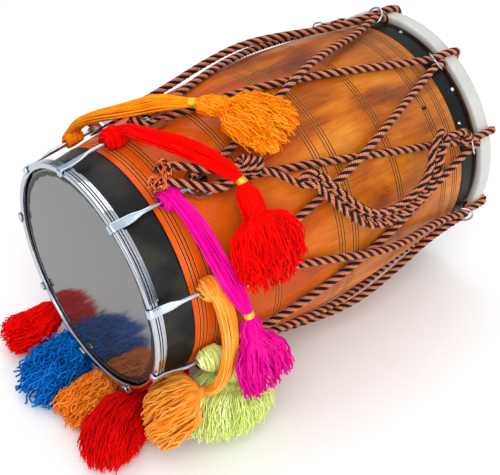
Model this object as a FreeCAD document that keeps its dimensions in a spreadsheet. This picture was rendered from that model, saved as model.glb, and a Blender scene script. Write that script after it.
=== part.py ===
import FreeCAD, Part
import math
import os
from types import SimpleNamespace

from FreeCAD import Placement, Rotation, Vector

# A barrel drum lying on its side: +X runs along its axis from the treble head to the bass head, +Z is up,
# and the origin is the centre of the treble rim's front plane. Angles round the axis are counted from +Y
# towards +Z, so 90 degrees is the top of the drum and 180 degrees its near side.

doc = FreeCAD.newDocument("dhol")

# Driving dimensions, in millimetres and degrees
sizes = {
    "drumLength": 592.0,
    "trebleShellRadius": 151.5,
    "bellyRadius": 187.8,
    "bassShellRadius": 169.0,
    "bellyPlace": 320.0,
    "wallThickness": 12.0,
    "clearance": 0.3,
    "overrun": 5.0,
    # treble end
    "trebleEdgePlace": 6.0,
    "filmThickness": 0.8,
    "collarLength": 11.0,
    "collarRise": 0.4,
    "borderWidth": 12.5,
    "trebleHoopRadius": 165.0,
    "trebleHoopWidth": 9.0,
    "trebleHoopDepth": 14.0,
    "hoopGrooveDepth": 1.6,
    "fleshRingDepth": 3.8,
    "fleshRingWidth": 4.1,
    "bandGap": 0.1,
    "bandThickness": 1.2,
    "trebleBandStart": 18.5,
    "trebleBandEnd": 60.0,
    # bass end
    "bassEdgeGap": 6.0,
    "bassBevelLength": 28.0,
    "bassBevelDepth": 11.5,
    "bassBandStart": 536.0,
    "bassBandEnd": 572.0,
    "bassHoopRadius": 181.0,
    "bassHoopWidth": 5.4,
    "bassHoopDepth": 15.0,
    "bassHoopLap": 5.5,
    "hoopOverhang": 1.5,
    "skinThickness": 1.2,
    "pasteRadius": 62.0,
    "pasteThickness": 2.0,
    # turned grooves and the vent
    "grooveWidth": 1.8,
    "grooveDepth": 0.9,
    "groovePitch": 4.6,
    "ventDiameter": 8.0,
    "ventPlace": 493.0,
    "ventAngle": 135.0,
    # hooks
    "firstHookAngle": 121.5,
    "rodDiameter": 6.0,
    "rodHeight": 170.0,
    "rodTilt": 4.86,
    "rodEnd": 128.0,
    "rodStart": 24.0,
    "clawThickness": 3.0,
    "clawWidth": 12.0,
    "clawLip": 7.0,
    "clawStraight": 16.0,
    "clawTaper": 18.0,
    # stirrups and nuts, measured along the rod from the hoop's rear face
    "stirrupStart": 91.0,
    "stirrupLength": 43.5,
    "stirrupStrip": 9.0,
    "stirrupThickness": 2.0,
    "nutStart": 108.6,
    "nutLength": 11.0,
    "nutFlats": 10.5,
    "nutFlangeRadius": 6.4,
    "nutFlangeThickness": 1.8,
    "shankRadius": 4.3,
    "threadPlay": 0.05,
    # rope and tuning rings
    "firstRingAngle": 119.0,
    "ropeDiameter": 11.0,
    "legAside": 12.4,
    "legOverhang": 8.0,
    "ropeLift": 1.2,
    "bightPlace": 115.0,
    "bightRise": 10.9,
    "ringPlace": 552.0,
    "ringHeight": 187.7,
    "ringForward": 4.0,
    "ringAside": 5.8,
    "ringWireRadius": 1.5,
    "ringCentreRadius": 14.4,
    "tieThickness": 1.6,
    "tieLength": 11.0,
    # small nails through the bass band
    "nearNailPlace": 9.0,
    "farNailPlace": 24.0,
    "nearNailTurn": -10.0,
    "farNailTurn": 14.0,
    "nailHeadRadius": 3.0,
    "nailHeadHeight": 1.4,
    "nailShankRadius": 0.8,
    "nailLength": 9.0,
    # yarn tassels
    "knotLength": 34.0,
    "knotRadius": 14.0,
    "knotPlace": 66.0,
    "knotEdge": 2.0,
    "floorDepth": 207.6,
    # the rope's surplus, crocheted into a chain
    "chainWidth": 27.0,
    "chainThickness": 19.0,
    "chainRise": 24.4,
    "chainDropPlace": 450.0,
}
hookCount = 9
bulgePower = 1.5

sheet = doc.addObject("Spreadsheet::Sheet", "sizes")
for row, (name, value) in enumerate(sizes.items(), start=1):
    sheet.set(f"A{row}", name)
    sheet.set(f"B{row}", str(value))
    sheet.setAlias(f"B{row}", name)
doc.recompute()
d = SimpleNamespace(**{name: float(sheet.get(name)) for name in sizes})

axisX = Vector(1, 0, 0)
axisY = Vector(0, 1, 0)
axisZ = Vector(0, 0, 1)
centre = Vector(0, 0, 0)
stepAngle = 360.0 / hookCount
shellEnd = d.drumLength - d.bassEdgeGap
bevelStart = shellEnd - d.bassBevelLength
nodes = []


def keep(obj, label):
    obj.Label = label
    nodes.append(obj)
    return obj


def feature(label, shape):
    obj = doc.addObject("Part::Feature", label)
    obj.Shape = shape
    return keep(obj, label)


# Frames and the barrel's outline

def hookAngle(place):
    return d.firstHookAngle + stepAngle * place


def ringAngle(place):
    # the rings sit a little behind the hooks, as the laced bass head has turned against the treble hoop
    return d.firstRingAngle + stepAngle * place


def turnTo(angle):
    # carries a shape made at the top of the drum round its axis
    return Placement(centre, Rotation(axisX, angle - 90))


def onDrum(x, angle, radius):
    turn = math.radians(angle)
    return Vector(x, radius * math.cos(turn), radius * math.sin(turn))


def barrelRadius(x):
    # the drop from the belly to each end grows with the distance from the belly to the power of one and a half
    if x <= d.bellyPlace:
        share = (d.bellyPlace - x) / d.bellyPlace
        return d.bellyRadius - (d.bellyRadius - d.trebleShellRadius) * share ** bulgePower
    share = (x - d.bellyPlace) / (d.drumLength - d.bellyPlace)
    return d.bellyRadius - (d.bellyRadius - d.bassShellRadius) * share ** bulgePower


def surfaceRadius(x):
    bevelShare = max(0.0, (x - bevelStart) / d.bassBevelLength)
    return barrelRadius(x) - d.bassBevelDepth * bevelShare


def surfaceEdges(start, end, offset):
    # the barrel's outline from one place to another, with the straight bevel at the bass end
    pointCount = 9
    curveEnd = min(end, bevelStart)
    places = [start + (curveEnd - start) * i / (pointCount - 1) for i in range(pointCount)]
    curve = Part.BSplineCurve()
    curve.interpolate([Vector(x, 0, surfaceRadius(x) + offset) for x in places])
    edges = [curve.toShape()]
    if end > bevelStart:
        corner = Vector(bevelStart, 0, surfaceRadius(bevelStart) + offset)
        edges.append(Part.makeLine(corner, Vector(end, 0, surfaceRadius(end) + offset)))
    return edges


def turned(edges):
    return Part.Face(Part.Wire(edges)).revolve(centre, axisX, 360)


def turnedOutline(points):
    corners = [Vector(x, 0, radius) for x, radius in points]
    return turned(Part.makePolygon(corners + corners[:1]).Edges)


def turnedUnder(start, end, offset, inner):
    # what lies between a radius and the barrel's outline moved outwards by the offset
    edges = surfaceEdges(start, end, offset)
    first = Vector(start, 0, surfaceRadius(start) + offset)
    last = Vector(end, 0, surfaceRadius(end) + offset)
    corners = [last, Vector(end, 0, inner), Vector(start, 0, inner), first]
    return turned(edges + Part.makePolygon(corners).Edges)


# The wooden shell, its turned grooves, vent hole and nail holes

grooveGroupShares = [0.1233, 0.1588, 0.3108, 0.4865, 0.527, 0.679, 0.8328, 0.8767]
grooveLineSteps = [-1, 0, 1]


def makeGrooves():
    rings = []
    for share in grooveGroupShares:
        for step in grooveLineSteps:
            x = d.drumLength * share + step * d.groovePitch
            rim = surfaceRadius(x) + d.grooveDepth
            half = d.grooveWidth
            tip = surfaceRadius(x) - d.grooveDepth
            rings.append(turnedOutline([(x - half, rim), (x, tip), (x + half, rim)]))
    return rings


def nailPlacement(place):
    # every second nail stands nearer the hoop and on the other side of its ring
    isEven = place % 2 == 0
    x = d.bassBandStart + (d.farNailPlace if isEven else d.nearNailPlace)
    angle = ringAngle(place) + (d.farNailTurn if isEven else d.nearNailTurn)
    foot = onDrum(x, angle, surfaceRadius(x) + d.bandThickness)
    return Placement(foot, Rotation(axisX, angle - 90))


def makeNail():
    shank = Part.makeCylinder(d.nailShankRadius, d.nailLength, Vector(0, 0, -d.nailLength))
    head = Part.makeCone(d.nailHeadRadius, d.nailHeadRadius / 2, d.nailHeadHeight)
    base = Part.makeCylinder(d.nailHeadRadius, d.bandThickness / 2, Vector(0, 0, 0))
    head.translate(Vector(0, 0, d.bandThickness / 2))
    return head.fuse([base, shank]).removeSplitter()


nail = makeNail()
nails = []
for place in range(hookCount):
    solid = nail.copy()
    solid.Placement = nailPlacement(place)
    nails.append(solid)


def makeWall():
    ends = []
    for x in (d.trebleEdgePlace, shellEnd):
        radius = surfaceRadius(x)
        ends.append(Part.makeLine(Vector(x, 0, radius), Vector(x, 0, radius - d.wallThickness)))
    outer = surfaceEdges(d.trebleEdgePlace, shellEnd, 0)
    inner = surfaceEdges(d.trebleEdgePlace, shellEnd, -d.wallThickness)
    return turned(Part.__sortEdges__(outer + inner + ends))


wall = makeWall()
vent = Part.makeCylinder(d.ventDiameter / 2, d.wallThickness * 3)
vent.Placement = Placement(onDrum(d.ventPlace, d.ventAngle, surfaceRadius(d.ventPlace) - d.wallThickness * 2),
                           Rotation(axisX, d.ventAngle - 90))
feature("shell", wall.cut(makeGrooves()).cut(vent).cut(nails))
feature("band_nails", Part.makeCompound(nails))


# The vinyl bands

bandSeat = turnedUnder(d.trebleEdgePlace, shellEnd, d.bandGap, 0)


def makeBand(start, end):
    blank = turnedUnder(start, end, d.bandThickness, surfaceRadius(start) - d.wallThickness)
    return blank.cut(bandSeat)


feature("treble_band", makeBand(d.trebleBandStart, d.trebleBandEnd))
feature("bass_band", makeBand(d.bassBandStart, d.bassBandEnd).cut(nails))

# The treble head: film over the shell's edge, its collar, the border strip, the ring and the hoop

filmFront = d.trebleEdgePlace - d.filmThickness
edgeRadius = surfaceRadius(d.trebleEdgePlace) + d.clearance
collarEnd = d.trebleEdgePlace + d.collarLength
collarRadius = surfaceRadius(collarEnd) + d.clearance + d.collarRise
feature("treble_head", turnedOutline([
    (filmFront, 0),
    (filmFront, edgeRadius - d.filmThickness),
    (d.trebleEdgePlace, edgeRadius + d.filmThickness),
    (collarEnd, collarRadius + d.filmThickness),
    (collarEnd, collarRadius),
    (d.trebleEdgePlace, edgeRadius),
    (d.trebleEdgePlace, 0),
]))
borderRadius = edgeRadius - 2 * d.filmThickness
feature("treble_border", turnedOutline([
    (filmFront - d.filmThickness, borderRadius),
    (filmFront - d.filmThickness, borderRadius - d.borderWidth),
    (filmFront, borderRadius - d.borderWidth),
    (filmFront, borderRadius),
]))
ringInner = collarRadius + d.filmThickness + d.clearance
feature("treble_flesh_ring", turnedOutline([
    (d.trebleHoopDepth + d.clearance, ringInner),
    (d.trebleHoopDepth + d.clearance, ringInner + d.fleshRingWidth),
    (d.trebleHoopDepth + d.fleshRingDepth, ringInner + d.fleshRingWidth),
    (d.trebleHoopDepth + d.fleshRingDepth, ringInner),
]))


def makeTrebleHoop():
    # two rolled ridges side by side with a groove between them
    outer = d.trebleHoopRadius
    inner = outer - d.trebleHoopWidth
    ridge = d.trebleHoopDepth / 4
    middle = d.trebleHoopDepth / 2
    floor = outer - ridge
    dip = floor + ridge - d.hoopGrooveDepth
    edges = [
        Part.Arc(Vector(0, 0, floor), Vector(ridge, 0, outer), Vector(middle, 0, dip)).toShape(),
        Part.Arc(Vector(middle, 0, dip), Vector(3 * ridge, 0, outer), Vector(4 * ridge, 0, floor)).toShape(),
    ]
    corners = [Vector(4 * ridge, 0, floor), Vector(4 * ridge, 0, inner), Vector(0, 0, inner), Vector(0, 0, floor)]
    return turned(edges + Part.makePolygon(corners).Edges)


feature("treble_hoop", makeTrebleHoop())

# The bass head: a skin over the shell's edge, rolled round a cane ring, with a hole for each rope loop


def hoopSection(front, rear, inner, outer):
    # round at the rear, with the front slanting forward to the outer edge
    half = (outer - inner) / 2
    middle = inner + half
    first = Vector(front - d.bassHoopLap, 0, outer)
    last = Vector(front + half, 0, inner)
    edges = [
        Part.makeLine(first, Vector(rear - half, 0, outer)),
        Part.Arc(Vector(rear - half, 0, outer), Vector(rear, 0, middle), Vector(rear - half, 0, inner)).toShape(),
        Part.makeLine(Vector(rear - half, 0, inner), last),
        Part.makeLine(last, first),
    ]
    return turned(edges)


hoopRear = d.drumLength + d.hoopOverhang
hoopFront = hoopRear - d.bassHoopDepth
hoopInner = d.bassHoopRadius - d.bassHoopWidth
caneRing = hoopSection(hoopFront + 2 * d.skinThickness, hoopRear - d.skinThickness,
                       hoopInner + d.skinThickness, d.bassHoopRadius - d.skinThickness)
feature("bass_hoop", caneRing)
skinRear = shellEnd + d.skinThickness
skinWrap = hoopSection(hoopFront, hoopRear, hoopInner, d.bassHoopRadius)
skinDisc = turnedOutline([(shellEnd, 0), (skinRear, 0), (skinRear, hoopInner + d.skinThickness),
                          (shellEnd, hoopInner + d.skinThickness)])

# The rope's route: eighteen legs between the hooks and the bass hoop, two turns round the drum

ropeRadius = d.ropeDiameter / 2
rodSlope = math.tan(math.radians(d.rodTilt))
touch = ropeRadius + d.clearance


def rodRadius(x):
    return d.rodHeight + (x - d.trebleHoopDepth) * rodSlope


def beside(angle, x, aside, radius):
    # a point near a hook's or ring's angle, aside counted towards lower angles
    return turnTo(angle).multVec(Vector(x, aside, radius))


stirrupRear = d.trebleHoopDepth + d.stirrupStart + d.stirrupLength
legStart = stirrupRear + d.legOverhang
legStartTurn = math.degrees(d.legAside / rodRadius(legStart))
legEndTurn = math.degrees(d.ringAside / d.ringHeight)
underPlaceShares = [0.17, 0.335, 0.5, 0.665, 0.83]
overPlaceShares = [0.17, 0.32, 0.45, 0.55, 0.68, 0.83]
crossingShare = 0.5
humpTopShare = 0.06
humpSlopeShare = 0.26
humpLift = d.ropeDiameter + 2 * d.clearance


def legPoint(share, isOver):
    # share runs from the hook to the ring; the second time round the rope lies over the first
    x = legStart + (d.ringPlace - legStart) * share
    radius = surfaceRadius(x) + touch + d.ropeLift
    if isOver:
        fromCrossing = abs(share - crossingShare)
        radius += humpLift * max(0.0, 1.0 - max(0.0, fromCrossing - humpTopShare) / humpSlopeShare)
    return x, radius


def makeLeg(step):
    # steps with an even number run from a hook to the ring of the next hook, odd ones run back
    isOver = step >= hookCount
    shares = overPlaceShares if isOver else underPlaceShares
    if step % 2 == 0:
        first = hookAngle(step) + legStartTurn
        last = ringAngle(step + 1) - legEndTurn
    else:
        first = hookAngle(step + 1) - legStartTurn
        last = ringAngle(step) + legEndTurn
    points = []
    for share in shares:
        x, radius = legPoint(share, isOver)
        points.append(onDrum(x, first + (last - first) * share, radius))
    return points if step % 2 == 0 else points[::-1]


bightWidthShare = 0.62
bightRearShare = 0.7
bightLiftShare = 0.2


def hookBight(place):
    # up beside the nut, over its shank and back down on the other side
    angle = hookAngle(place)
    rear = legStart
    middle = d.bightPlace + bightRearShare * d.ropeDiameter
    middleRadius = rodRadius(middle) + bightLiftShare * d.ropeDiameter
    topAside = bightWidthShare * d.legAside
    topRadius = rodRadius(d.bightPlace) + d.bightRise
    return [
        beside(angle, rear, d.legAside, rodRadius(rear)),
        beside(angle, middle, d.legAside, middleRadius),
        beside(angle, d.bightPlace, topAside, topRadius),
        beside(angle, d.bightPlace, -topAside, topRadius),
        beside(angle, middle, -d.legAside, middleRadius),
        beside(angle, rear, -d.legAside, rodRadius(rear)),
    ]


# the loop's run towards the ring, past the ring and back, and how far its sides draw together at the hoop
loopRuns = {"towards": 8.0, "past": 10.0, "from": 8.0, "back": 12.0, "front": 4.0, "dip": 0.2, "backDip": 0.6}
loopOverShare = 0.45
loopRearShare = -0.2
loopFrontShare = -0.6


def ringLoop(place):
    # through the ring, over the bass hoop, round its rear, in through the skin and out under it
    angle = ringAngle(place)
    over = d.bassHoopRadius + touch + d.clearance
    under = hoopInner - touch - 2 * d.clearance
    rear = hoopRear + touch + d.clearance
    front = hoopFront - loopRuns["front"]
    return [
        beside(angle, d.ringPlace - loopRuns["towards"], d.ringAside, d.ringHeight - loopRuns["dip"]),
        beside(angle, d.ringPlace + loopRuns["past"], d.ringAside, d.ringHeight),
        beside(angle, rear, loopOverShare * d.ringAside, over),
        beside(angle, rear, loopRearShare * d.ringAside, under),
        beside(angle, front, loopFrontShare * d.ringAside, under),
        beside(angle, d.ringPlace + loopRuns["from"], -d.ringAside, d.ringHeight),
        beside(angle, d.ringPlace - loopRuns["back"], -d.ringAside, d.ringHeight - loopRuns["backDip"]),
    ]


def makeRoute():
    route = hookBight(0)[3:]
    for step in range(2 * hookCount):
        route += makeLeg(step)
        nextPlace = step + 1
        if step % 2 == 0:
            route += ringLoop(nextPlace)
        elif nextPlace < 2 * hookCount:
            route += hookBight(nextPlace)
        else:
            route += hookBight(nextPlace)[:3]
    return route


def makePath(points):
    # straight runs joined by tangent arcs, each as large as its two runs allow
    arcShare = 0.45
    edges = []
    last = points[0]
    radii = []
    for before, corner, after in zip(points, points[1:], points[2:]):
        inward = (corner - before)
        outward = (after - corner)
        reach = arcShare * min(inward.Length, outward.Length)
        inward.normalize()
        outward.normalize()
        turn = inward.getAngle(outward)
        radii.append(reach / math.tan(turn / 2))
        start = corner - inward * reach
        end = corner + outward * reach
        bisector = outward - inward
        bisector.normalize()
        depth = radii[-1] * (1 / math.cos(turn / 2) - 1)
        edges.append(Part.LineSegment(last, start).toShape())
        edges.append(Part.Arc(start, corner + bisector * depth, end).toShape())
        last = end
    edges.append(Part.LineSegment(last, points[-1]).toShape())
    return Part.Wire(edges), radii


def makeTube(points, diameter):
    path, radii = makePath(points)
    direction = points[1] - points[0]
    section = Part.Wire([Part.makeCircle(diameter / 2, points[0], direction)])
    return path.makePipeShell([section], True, False), path, radii


lacing, lacingPath, lacingRadii = makeTube(makeRoute(), d.ropeDiameter)
print("lacing length", round(lacingPath.Length), "least radius", round(min(lacingRadii), 1),
      "volume ratio", round(lacing.Volume / (lacingPath.Length * math.pi * ropeRadius ** 2), 4))
feature("rope_lacing", lacing)

holes = []
holeRadius = ropeRadius + 2 * d.clearance
for place in range(hookCount):
    holeAside = -loopOverShare * d.ringAside
    low = beside(ringAngle(place), shellEnd - d.overrun, holeAside, hoopInner - touch - d.clearance)
    holes.append(Part.makeCylinder(holeRadius, 2 * d.overrun + d.skinThickness, low, axisX))
feature("bass_head", skinDisc.fuse(skinWrap).cut([caneRing] + holes))
feature("bass_paste", turnedOutline([(shellEnd - d.pasteThickness, 0), (shellEnd, 0), (shellEnd, d.pasteRadius),
                                     (shellEnd - d.pasteThickness, d.pasteRadius)]))


# The hooks: a flat claw over the hoop that narrows into a round threaded rod

def extrudedOutline(points, direction):
    face = Part.Face(Part.makePolygon(points + points[:1]))
    return face.extrude(direction)


def makeHook():
    gap = d.clearance
    half = d.clawWidth / 2
    rodHalf = d.rodDiameter / 2
    hoopTop = d.trebleHoopRadius + gap
    outerTop = hoopTop + d.clawThickness
    lipEnd = d.trebleHoopRadius - d.clawLip
    bladeEnd = d.trebleHoopDepth + d.clawStraight + d.clawTaper
    bladeFoot = d.trebleHoopDepth
    side = [
        Vector(-gap, -half, lipEnd),
        Vector(-gap, -half, hoopTop),
        Vector(bladeFoot, -half, hoopTop),
        Vector(bladeEnd, -half, rodRadius(bladeEnd) - rodHalf / 2),
        Vector(bladeEnd, -half, rodRadius(bladeEnd) + rodHalf / 2),
        Vector(bladeFoot, -half, outerTop),
        Vector(-gap - d.clawThickness / 2, -half, outerTop),
        Vector(-gap - d.clawThickness, -half, outerTop - d.clawThickness / 2),
        Vector(-gap - d.clawThickness, -half, lipEnd),
    ]
    taperStart = d.trebleHoopDepth + d.clawStraight
    frontEdge = -gap - d.clawThickness - d.overrun
    plan = [
        Vector(frontEdge, half, 0),
        Vector(taperStart, half, 0),
        Vector(bladeEnd, rodHalf, 0),
        Vector(bladeEnd, -rodHalf, 0),
        Vector(taperStart, -half, 0),
        Vector(frontEdge, -half, 0),
    ]
    blade = extrudedOutline(side, Vector(0, d.clawWidth, 0))
    blade = blade.common(extrudedOutline(plan, Vector(0, 0, 2 * d.trebleHoopRadius)))
    rod = Part.makeCylinder(rodHalf, d.rodEnd - d.rodStart, Vector(d.rodStart, 0, 0), axisX)
    rod.Placement = rodFrame
    return blade.fuse(rod).removeSplitter()


rodFrame = Placement(Vector(d.trebleHoopDepth, 0, d.rodHeight), Rotation(axisY, -d.rodTilt))

# Pieces made once in the frame of the top of the drum and repeated at every hook

masters = {}
hookMaster = doc.addObject("Part::Feature", "hookShape")
hookMaster.Shape = makeHook()
masters["hook"] = hookMaster


def makeStirrup():
    # a strip bent to an arch, open towards the bass end, with a hole in its bow for the rod
    inner = d.legAside + ropeRadius + d.clearance
    outer = inner + d.stirrupThickness
    middle = d.stirrupStart + outer
    rear = d.stirrupStart + d.stirrupLength
    low = -d.stirrupStrip / 2
    edges = [
        Part.makeLine(Vector(rear, outer, low), Vector(middle, outer, low)),
        Part.Arc(Vector(middle, outer, low), Vector(d.stirrupStart, 0, low), Vector(middle, -outer, low)).toShape(),
        Part.makeLine(Vector(middle, -outer, low), Vector(rear, -outer, low)),
        Part.makeLine(Vector(rear, -outer, low), Vector(rear, -inner, low)),
        Part.makeLine(Vector(rear, -inner, low), Vector(middle, -inner, low)),
        Part.Arc(Vector(middle, -inner, low), Vector(d.stirrupStart + d.stirrupThickness, 0, low),
                 Vector(middle, inner, low)).toShape(),
        Part.makeLine(Vector(middle, inner, low), Vector(rear, inner, low)),
        Part.makeLine(Vector(rear, inner, low), Vector(rear, outer, low)),
    ]
    strip = Part.Face(Part.Wire(edges)).extrude(Vector(0, 0, d.stirrupStrip))
    holeSize = d.rodDiameter / 2 + d.clearance
    hole = Part.makeCylinder(holeSize, 3 * d.overrun, Vector(d.stirrupStart - d.overrun, 0, 0), axisX)
    return strip.cut(hole)


stirrupMaster = doc.addObject("Part::Feature", "stirrupShape")
stirrupMaster.Shape = makeStirrup()
stirrupMaster.Placement = rodFrame
masters["stirrup"] = stirrupMaster


def makeNutMaster():
    # hexagon, round flange and a shank that reaches through the rope's bight to the stirrup's bow
    bowRadius = d.legAside + ropeRadius + d.clearance
    bowSag = bowRadius - math.sqrt(bowRadius ** 2 - d.shankRadius ** 2)
    shankStart = d.stirrupStart + d.stirrupThickness + bowSag + d.clearance / 2
    flangeStart = d.nutStart
    hexStart = flangeStart + d.nutFlangeThickness
    body = doc.addObject("PartDesign::Body", "nutShape")
    planes = {plane.Role: plane for plane in body.Origin.OriginFeatures}

    def pad(name, start, length, draw):
        sketch = body.newObject("Sketcher::SketchObject", name + "Sketch")
        sketch.AttachmentSupport = (planes["YZ_Plane"], [""])
        sketch.MapMode = "FlatFace"
        sketch.AttachmentOffset = Placement(Vector(0, 0, start), Rotation())
        draw(sketch)
        made = body.newObject("PartDesign::Pad", name)
        made.Profile = sketch
        made.Length = length
        doc.recompute()
        return made

    def circle(radiusName):
        def draw(sketch):
            sketch.addGeometry(Part.Circle(centre, axisZ, getattr(d, radiusName)), False)
        return draw

    def hexagon(sketch):
        corner = d.nutFlats / math.sqrt(3)
        points = [Vector(corner * math.cos(math.radians(60 * i)), corner * math.sin(math.radians(60 * i)), 0)
                  for i in range(6)]
        for first, second in zip(points, points[1:] + points[:1]):
            sketch.addGeometry(Part.LineSegment(first, second), False)

    pad("flange", flangeStart, d.nutFlangeThickness, circle("nutFlangeRadius"))
    pad("hexagon", hexStart, d.nutLength, hexagon)
    pad("shank", shankStart, flangeStart - shankStart, circle("shankRadius"))
    bore = body.newObject("Sketcher::SketchObject", "boreSketch")
    bore.AttachmentSupport = (planes["YZ_Plane"], [""])
    bore.MapMode = "FlatFace"
    bore.addGeometry(Part.Circle(centre, axisZ, d.rodDiameter / 2 + d.threadPlay), False)
    bore.AttachmentOffset = Placement(Vector(0, 0, shankStart - d.overrun), Rotation())
    pocket = body.newObject("PartDesign::Pocket", "bore")
    pocket.Profile = bore
    pocket.Type = "Length"
    pocket.Length = hexStart + d.nutLength - shankStart + 2 * d.overrun
    pocket.Reversed = True
    doc.recompute()
    body.Tip = pocket
    body.Placement = rodFrame
    return body


masters["nut"] = makeNutMaster()
doc.recompute()

for kind, master in masters.items():
    for place in range(hookCount):
        link = doc.addObject("App::Link", f"{kind}_{place + 1}")
        link.LinkedObject = master
        link.LinkTransform = True
        link.setExpression(".Placement.Rotation.Angle",
                           f"sizes.firstHookAngle - 90 + {place} * 360 / {hookCount}")
        link.Placement = turnTo(hookAngle(place))
        keep(link, f"{kind}_{place + 1}")

# The steel tuning rings, each leaning its own way round its pair of rope legs

ringLeans = [-42.0, -44.0, 46.0, -42.0, 46.0, -42.0, 46.0, -42.0, 45.0]
for place in range(hookCount):
    ring = doc.addObject("Part::Torus", f"ring_{place + 1}")
    ring.setExpression("Radius1", "sizes.ringCentreRadius")
    ring.setExpression("Radius2", "sizes.ringWireRadius")
    lean = Placement(Vector(d.ringPlace - d.ringForward, 0, d.ringHeight), Rotation(axisY, 90 + ringLeans[place]))
    ring.Placement = turnTo(ringAngle(place)).multiply(lean)
    keep(ring, f"ring_{place + 1}")


# Soft pieces: closed forms with an oval section that swells and narrows along a route

def limb(stations, ups):
    # stations hold the point, the width across and the thickness, and ups the outward direction there
    sideCount = 14
    wires = []
    for i, (point, width, thickness) in enumerate(stations):
        ahead = stations[min(i + 1, len(stations) - 1)][0]
        behind = stations[max(i - 1, 0)][0]
        along = ahead - behind
        along.normalize()
        across = along.cross(ups[i])
        across.normalize()
        up = across.cross(along)
        corners = []
        for side in range(sideCount):
            turn = 2 * math.pi * side / sideCount
            corners.append(point + across * (width / 2 * math.cos(turn)) + up * (thickness / 2 * math.sin(turn)))
        wires.append(Part.makePolygon(corners + corners[:1]))
    return Part.makeLoft(wires, True, True)


def outward(point):
    up = Vector(0, point.y, point.z)
    up.normalize()
    return up


def makeKnot():
    half = d.knotLength / 2
    low = d.rodDiameter / 2 + d.clearance
    edge = low + d.knotEdge
    outline = [
        Part.Arc(Vector(-half, 0, edge), Vector(0, 0, d.knotRadius), Vector(half, 0, edge)).toShape(),
        Part.makeLine(Vector(half, 0, edge), Vector(half, 0, low)),
        Part.makeLine(Vector(half, 0, low), Vector(-half, 0, low)),
        Part.makeLine(Vector(-half, 0, low), Vector(-half, 0, edge)),
    ]
    knot = turned(outline)
    knot.translate(Vector(d.knotPlace, 0, 0))
    knot.Placement = rodFrame.multiply(knot.Placement)
    envelope = turnedUnder(d.trebleBandEnd, bevelStart, 2 * d.clearance, 0)
    return knot.cut(envelope)


# Each tassel's strand and skirt follow points like a cord's: hook, then each point with its width and thickness.
# The first ones lie on the drum and are given by place, angle and radius.

drumTassels = {
    7: [(95, 47, 193, 18, 12), (112, 60, 202, 22, 12), (138, 80, 206, 24, 12), (166, 89, 207, 22, 12),
        (185, 93, 206, 15, 12), (194, 96, 207, 30, 18), (204, 101, 209, 40, 20), (213, 105, 211, 28, 18),
        (226, 111, 213, 60, 20), (239, 117.5, 216, 78, 20), (250, 123, 219, 82, 16)],
    8: [(94, 87, 193, 18, 12), (100, 96, 203, 22, 11), (116, 106, 211, 24, 11), (135, 115, 213, 24, 11),
        (153, 123, 213, 20, 12), (164, 129, 212, 15, 12), (164, 136, 212, 26, 16), (164, 143, 212, 28, 17),
        (165, 150, 214, 64, 20), (168, 159, 217, 86, 22), (172, 168, 220, 92, 18)],
    0: [(94, 131, 194, 18, 12), (98, 146, 203, 20, 11), (104, 161, 205, 20, 11), (114, 174.5, 204, 15, 12),
        (118, 181, 206, 30, 18), (121, 187, 210, 34, 20), (125, 192, 217, 60, 22), (130, 199, 229, 78, 22),
        (134, 206, 246, 84, 18)],
}

# The others end on the floor, four of them after passing under the rim, and are given by their three coordinates.
floorTassels = {
    1: [(92, -183, 38, 18, 12), (95, -190, 14, 18, 12), (93, -194, -20, 18, 12), (87, -198, -52, 18, 12),
        (75, -199, -80, 17, 12), (62, -189, -98, 16, 12), (52, -176, -106, 15, 12), (38, -170, -112, 34, 22),
        (20, -160, -124, 52, 32), (7, -150, -142, 62, 38), (-4, -142, -164, 64, 34)],
    2: [(97, -176, -84, 16, 12), (107, -178, -108, 16, 12), (111, -170, -132, 15, 12), (110, -170, -150, 40, 26),
        (106, -178, -168, 82, 36), (98, -190, -178, 106, 44), (88, -204, -184, 114, 36)],
    3: [(60, -86, -166, 14, 11), (32, -80, -172, 14, 11), (14, -76, -178, 14, 12), (2, -76, -182, 30, 24),
        (-14, -82, -184, 46, 34), (-36, -99, -185, 58, 42), (-57, -118, -186, 64, 42), (-78, -138, -188, 64, 34)],
    4: [(60, 16, -184, 14, 11), (34, 4, -188, 14, 11), (12, -8, -190, 14, 12), (0, -14, -188, 32, 24),
        (-14, -20, -187, 44, 34), (-34, -27, -187, 56, 38), (-56, -34, -188, 60, 38), (-78, -42, -190, 62, 30)],
    5: [(60, 130, -136, 14, 11), (34, 112, -160, 14, 11), (16, 90, -176, 14, 12), (4, 78, -184, 32, 24),
        (-12, 66, -185, 52, 36), (-34, 54, -185, 70, 42), (-58, 46, -186, 76, 42), (-80, 40, -188, 74, 34)],
    6: [(62, 188, -28, 16, 11), (54, 186, -64, 16, 11), (44, 178, -102, 16, 11), (32, 163, -138, 16, 11),
        (20, 150, -164, 15, 12), (8, 144, -176, 32, 24), (-8, 141, -182, 52, 36), (-28, 140, -184, 64, 42),
        (-48, 142, -185, 66, 42), (-66, 146, -188, 62, 34)],
}
tieSteps = {7: 5, 8: 6, 0: 4, 1: 7, 2: 3, 3: 3, 4: 3, 5: 3, 6: 5}
widenAfter = 20.0
rootRiseShare = 0.75
rootThicknessShare = 0.8


def tasselStations(place):
    root = beside(hookAngle(place), knotMiddle, 0, rodRadius(knotMiddle) + rootRiseShare * d.knotRadius)
    stations = [(root, d.knotRadius, rootThicknessShare * d.knotRadius)]
    if place in drumTassels:
        stations += [(onDrum(x, angle, radius), width, thick)
                     for x, angle, radius, width, thick in drumTassels[place]]
        ups = [outward(point) for point, width, thick in stations]
    else:
        stations += [(Vector(x, y, z), width, thick) for x, y, z, width, thick in floorTassels[place]]
        ups = [outward(point) if width < widenAfter else axisZ for point, width, thick in stations]
    return stations, ups


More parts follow.
